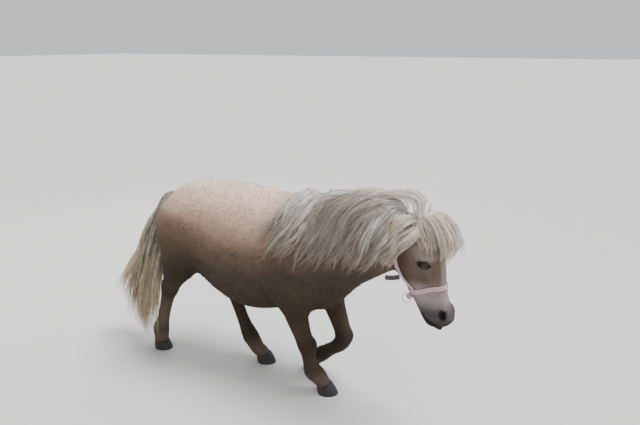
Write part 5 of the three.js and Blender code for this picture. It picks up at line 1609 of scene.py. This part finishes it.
def buildFur():
    mesh = skinPiece.data
    mesh.calc_loop_triangles()
    tri = np.empty(len(mesh.loop_triangles) * 3, np.int32)
    mesh.loop_triangles.foreach_get("vertices", tri)
    tri = tri.reshape(-1, 3)
    p = pointsOf(skinPiece)
    a, b, c = p[tri[:, 0]], p[tri[:, 1]], p[tri[:, 2]]
    cross = np.cross(b - a, c - a)
    size = np.linalg.norm(cross, axis=1) / 2
    middle = (a + b + c) / 3
    head = smooth(middle[:, 0], 0.70, 0.76)
    low = 1 - smooth(middle[:, 2], 0.28, 0.42)
    want = size * (1 + 3.2 * head + 2.0 * low)
    r = np.random.default_rng(55)
    n = int(fur["count"] * fine)
    pick = r.choice(len(tri), n, p=want / want.sum())
    u, v = r.uniform(0, 1, (2, n))
    over = u + v > 1
    u, v = np.where(over, 1 - u, u), np.where(over, 1 - v, v)
    root = a[pick] + (b - a)[pick] * u[:, None] + (c - a)[pick] * v[:, None]
    normal = unit(cross[pick])
    # none on the eyes, inside the nostrils, between the lips or under the crowns of the hooves
    h = toHead(root)
    q = np.stack([h[:, 0], np.abs(h[:, 1]), h[:, 2]], 1)
    e = (q - np.array(eye["place"])) @ eyeTilt
    keep = ~((np.hypot(e[:, 0] / eye["long"], e[:, 2] / eye["high"]) < 1.22) & (e[:, 1] > 0))
    keep &= np.linalg.norm((q - (0.056, 0.038, -0.208)) / (1, 1, 1.4), axis=1) > 0.013
    keep &= ~((h[:, 2] < -0.242) & (root[:, 0] > 0.75))
    keep &= root[:, 2] > 0.052
    root, normal = root[keep], normal[keep]
    kind, place, angle = regions(root)
    n = len(root)
    lie = lieOf(root, normal, kind, place)
    side = np.cross(normal, lie)
    sway = waver(root, 0.06, 8) - 0.5
    lie = unit(lie + side * (0.5 * sway + r.normal(0, 0.07, n))[:, None])
    length = furLength(root, normal, kind) * r.uniform(0.7, 1.25, n)
    lift = r.uniform(0.04, 0.17, n)[:, None]
    base = root - normal * 0.0012
    middlePoint = root + (lie + normal * lift) * (length * 0.5)[:, None]
    tip = root + (lie + normal * lift * 0.9) * length[:, None]
    tip = tip + side * (r.normal(0, 0.06, n) * length)[:, None]
    path = np.stack([base, middlePoint, tip], 1)
    width = np.clip(fur["width"] * (length / 0.014) ** 0.6, 0.0011, 0.0042) * r.uniform(0.7, 1.3, n)
    w = np.stack([width * 0.8, width], 1) / 2
    corner = np.radians([-30, 90, 210])
    side = np.cross(lie, normal)
    around = side[:, None, None] * np.cos(corner)[:, None] + normal[:, None, None] * (0.22 * np.sin(corner))[:, None]
    ring = path[:, :2, None] + around * w[:, :, None, None]
    verts = np.concatenate([ring.reshape(n, 6, 3), path[:, 2:]], 1)
    tone = coatColor(root) * r.uniform(0.88, 1.10, (n, 1))
    colors = np.clip(tone[:, None] * np.repeat([0.92, 1.0, 1.08], [3, 3, 1])[None, :, None], 0, 1)
    uv = atlas(kind, place, angle)
    patch = 0.003 * np.array([(0, 0), (0.5, 0), (1, 0), (0, 0.5), (0.5, 0.5), (1, 0.5), (0.5, 1)])
    made = []
    for k in range(fur["pieces"]):
        mine = np.arange(n) % fur["pieces"] == k
        m = mine.sum()
        start = (np.arange(m) * 7)[:, None, None]
        quads = (tubeFaces(2, 3)[None] + start).reshape(-1, 4)
        tris = (np.array([[2, 1, 0], [3, 4, 6], [4, 5, 6], [5, 3, 6]])[None] + start).reshape(-1, 3)
        obj = meshFrom("fur_" + "abcdefgh"[k], verts[mine].reshape(-1, 3), [quads, tris])
        paint(obj, "coat", colors[mine].reshape(-1, 3))
        uvMap(obj, "OFBake", (uv[mine][:, None] + patch[None]).reshape(-1, 2))
        made.append(give(obj, furCoat, ()))
    print("fur", n, "tufts", sum(len(o.data.polygons) for o in made), "faces")


furCoat = hairMaterial("furTufts", 0.7)
buildFur()

# Camera, lights and floor

view = {"place": (1.526, -2.376, 1.603), "down": 15.55, "turn": 27.14, "lens": 34.7}
camera = bpy.data.objects.new("camera", bpy.data.cameras.new("camera"))
camera.data.lens = view["lens"]
camera.data.sensor_width = 36
camera.location = Vector(np.array(view["place"]) + shift)
camera.rotation_euler = (math.radians(90 - view["down"]), 0, math.radians(view["turn"]))
bpy.context.scene.collection.objects.link(camera)
bpy.context.scene.camera = camera

light = {"sky": 0.80, "key": 4.2, "front": 29.0, "behind": 46.0}


def areaLight(name, place, target, size, watts, color=(1, 1, 1)):
    lamp = bpy.data.lights.new(name, "AREA")
    lamp.size = size
    lamp.energy = watts
    lamp.color = color
    obj = bpy.data.objects.new(name, lamp)
    obj.location = place
    obj.rotation_euler = (Vector(target) - Vector(place)).to_track_quat("-Z", "Y").to_euler()
    bpy.context.scene.collection.objects.link(obj)


key = bpy.data.objects.new("key", bpy.data.lights.new("key", "SUN"))
key.data.energy, key.data.angle = light["key"], 0.5
key.rotation_euler = Vector((0.40, 0.10, 1.0)).to_track_quat("Z", "Y").to_euler()
bpy.context.scene.collection.objects.link(key)
areaLight("front", (3.2, -2.4, 1.9), (0.5, 0, 0.6), 2.2, light["front"])
areaLight("behind", (-2.4, 2.0, 2.6), (0, 0, 0.6), 2.4, light["behind"], (0.95, 0.97, 1.0))
world = bpy.data.worlds.new("studio")
world.use_nodes = True
world.node_tree.nodes["Background"].inputs["Color"].default_value = (0.93, 0.95, 0.98, 1)
world.node_tree.nodes["Background"].inputs["Strength"].default_value = light["sky"]
bpy.context.scene.world = world

floorVerts = np.array([(-60, -60, 0), (60, -60, 0), (60, 60, 0), (-60, 60, 0)], float)
floor = meshFrom("floor", floorVerts - shift * (1, 1, 0), [np.array([[0, 1, 2, 3]])], False)
floorMaterial, tree, shader, place = newMaterial("floor", 0.8)
plug(tree, shader, "Base Color", noise(place, 3.0).mix((0.62, 0.61, 0.59), (0.66, 0.65, 0.63)))
floor.data.materials.append(floorMaterial)
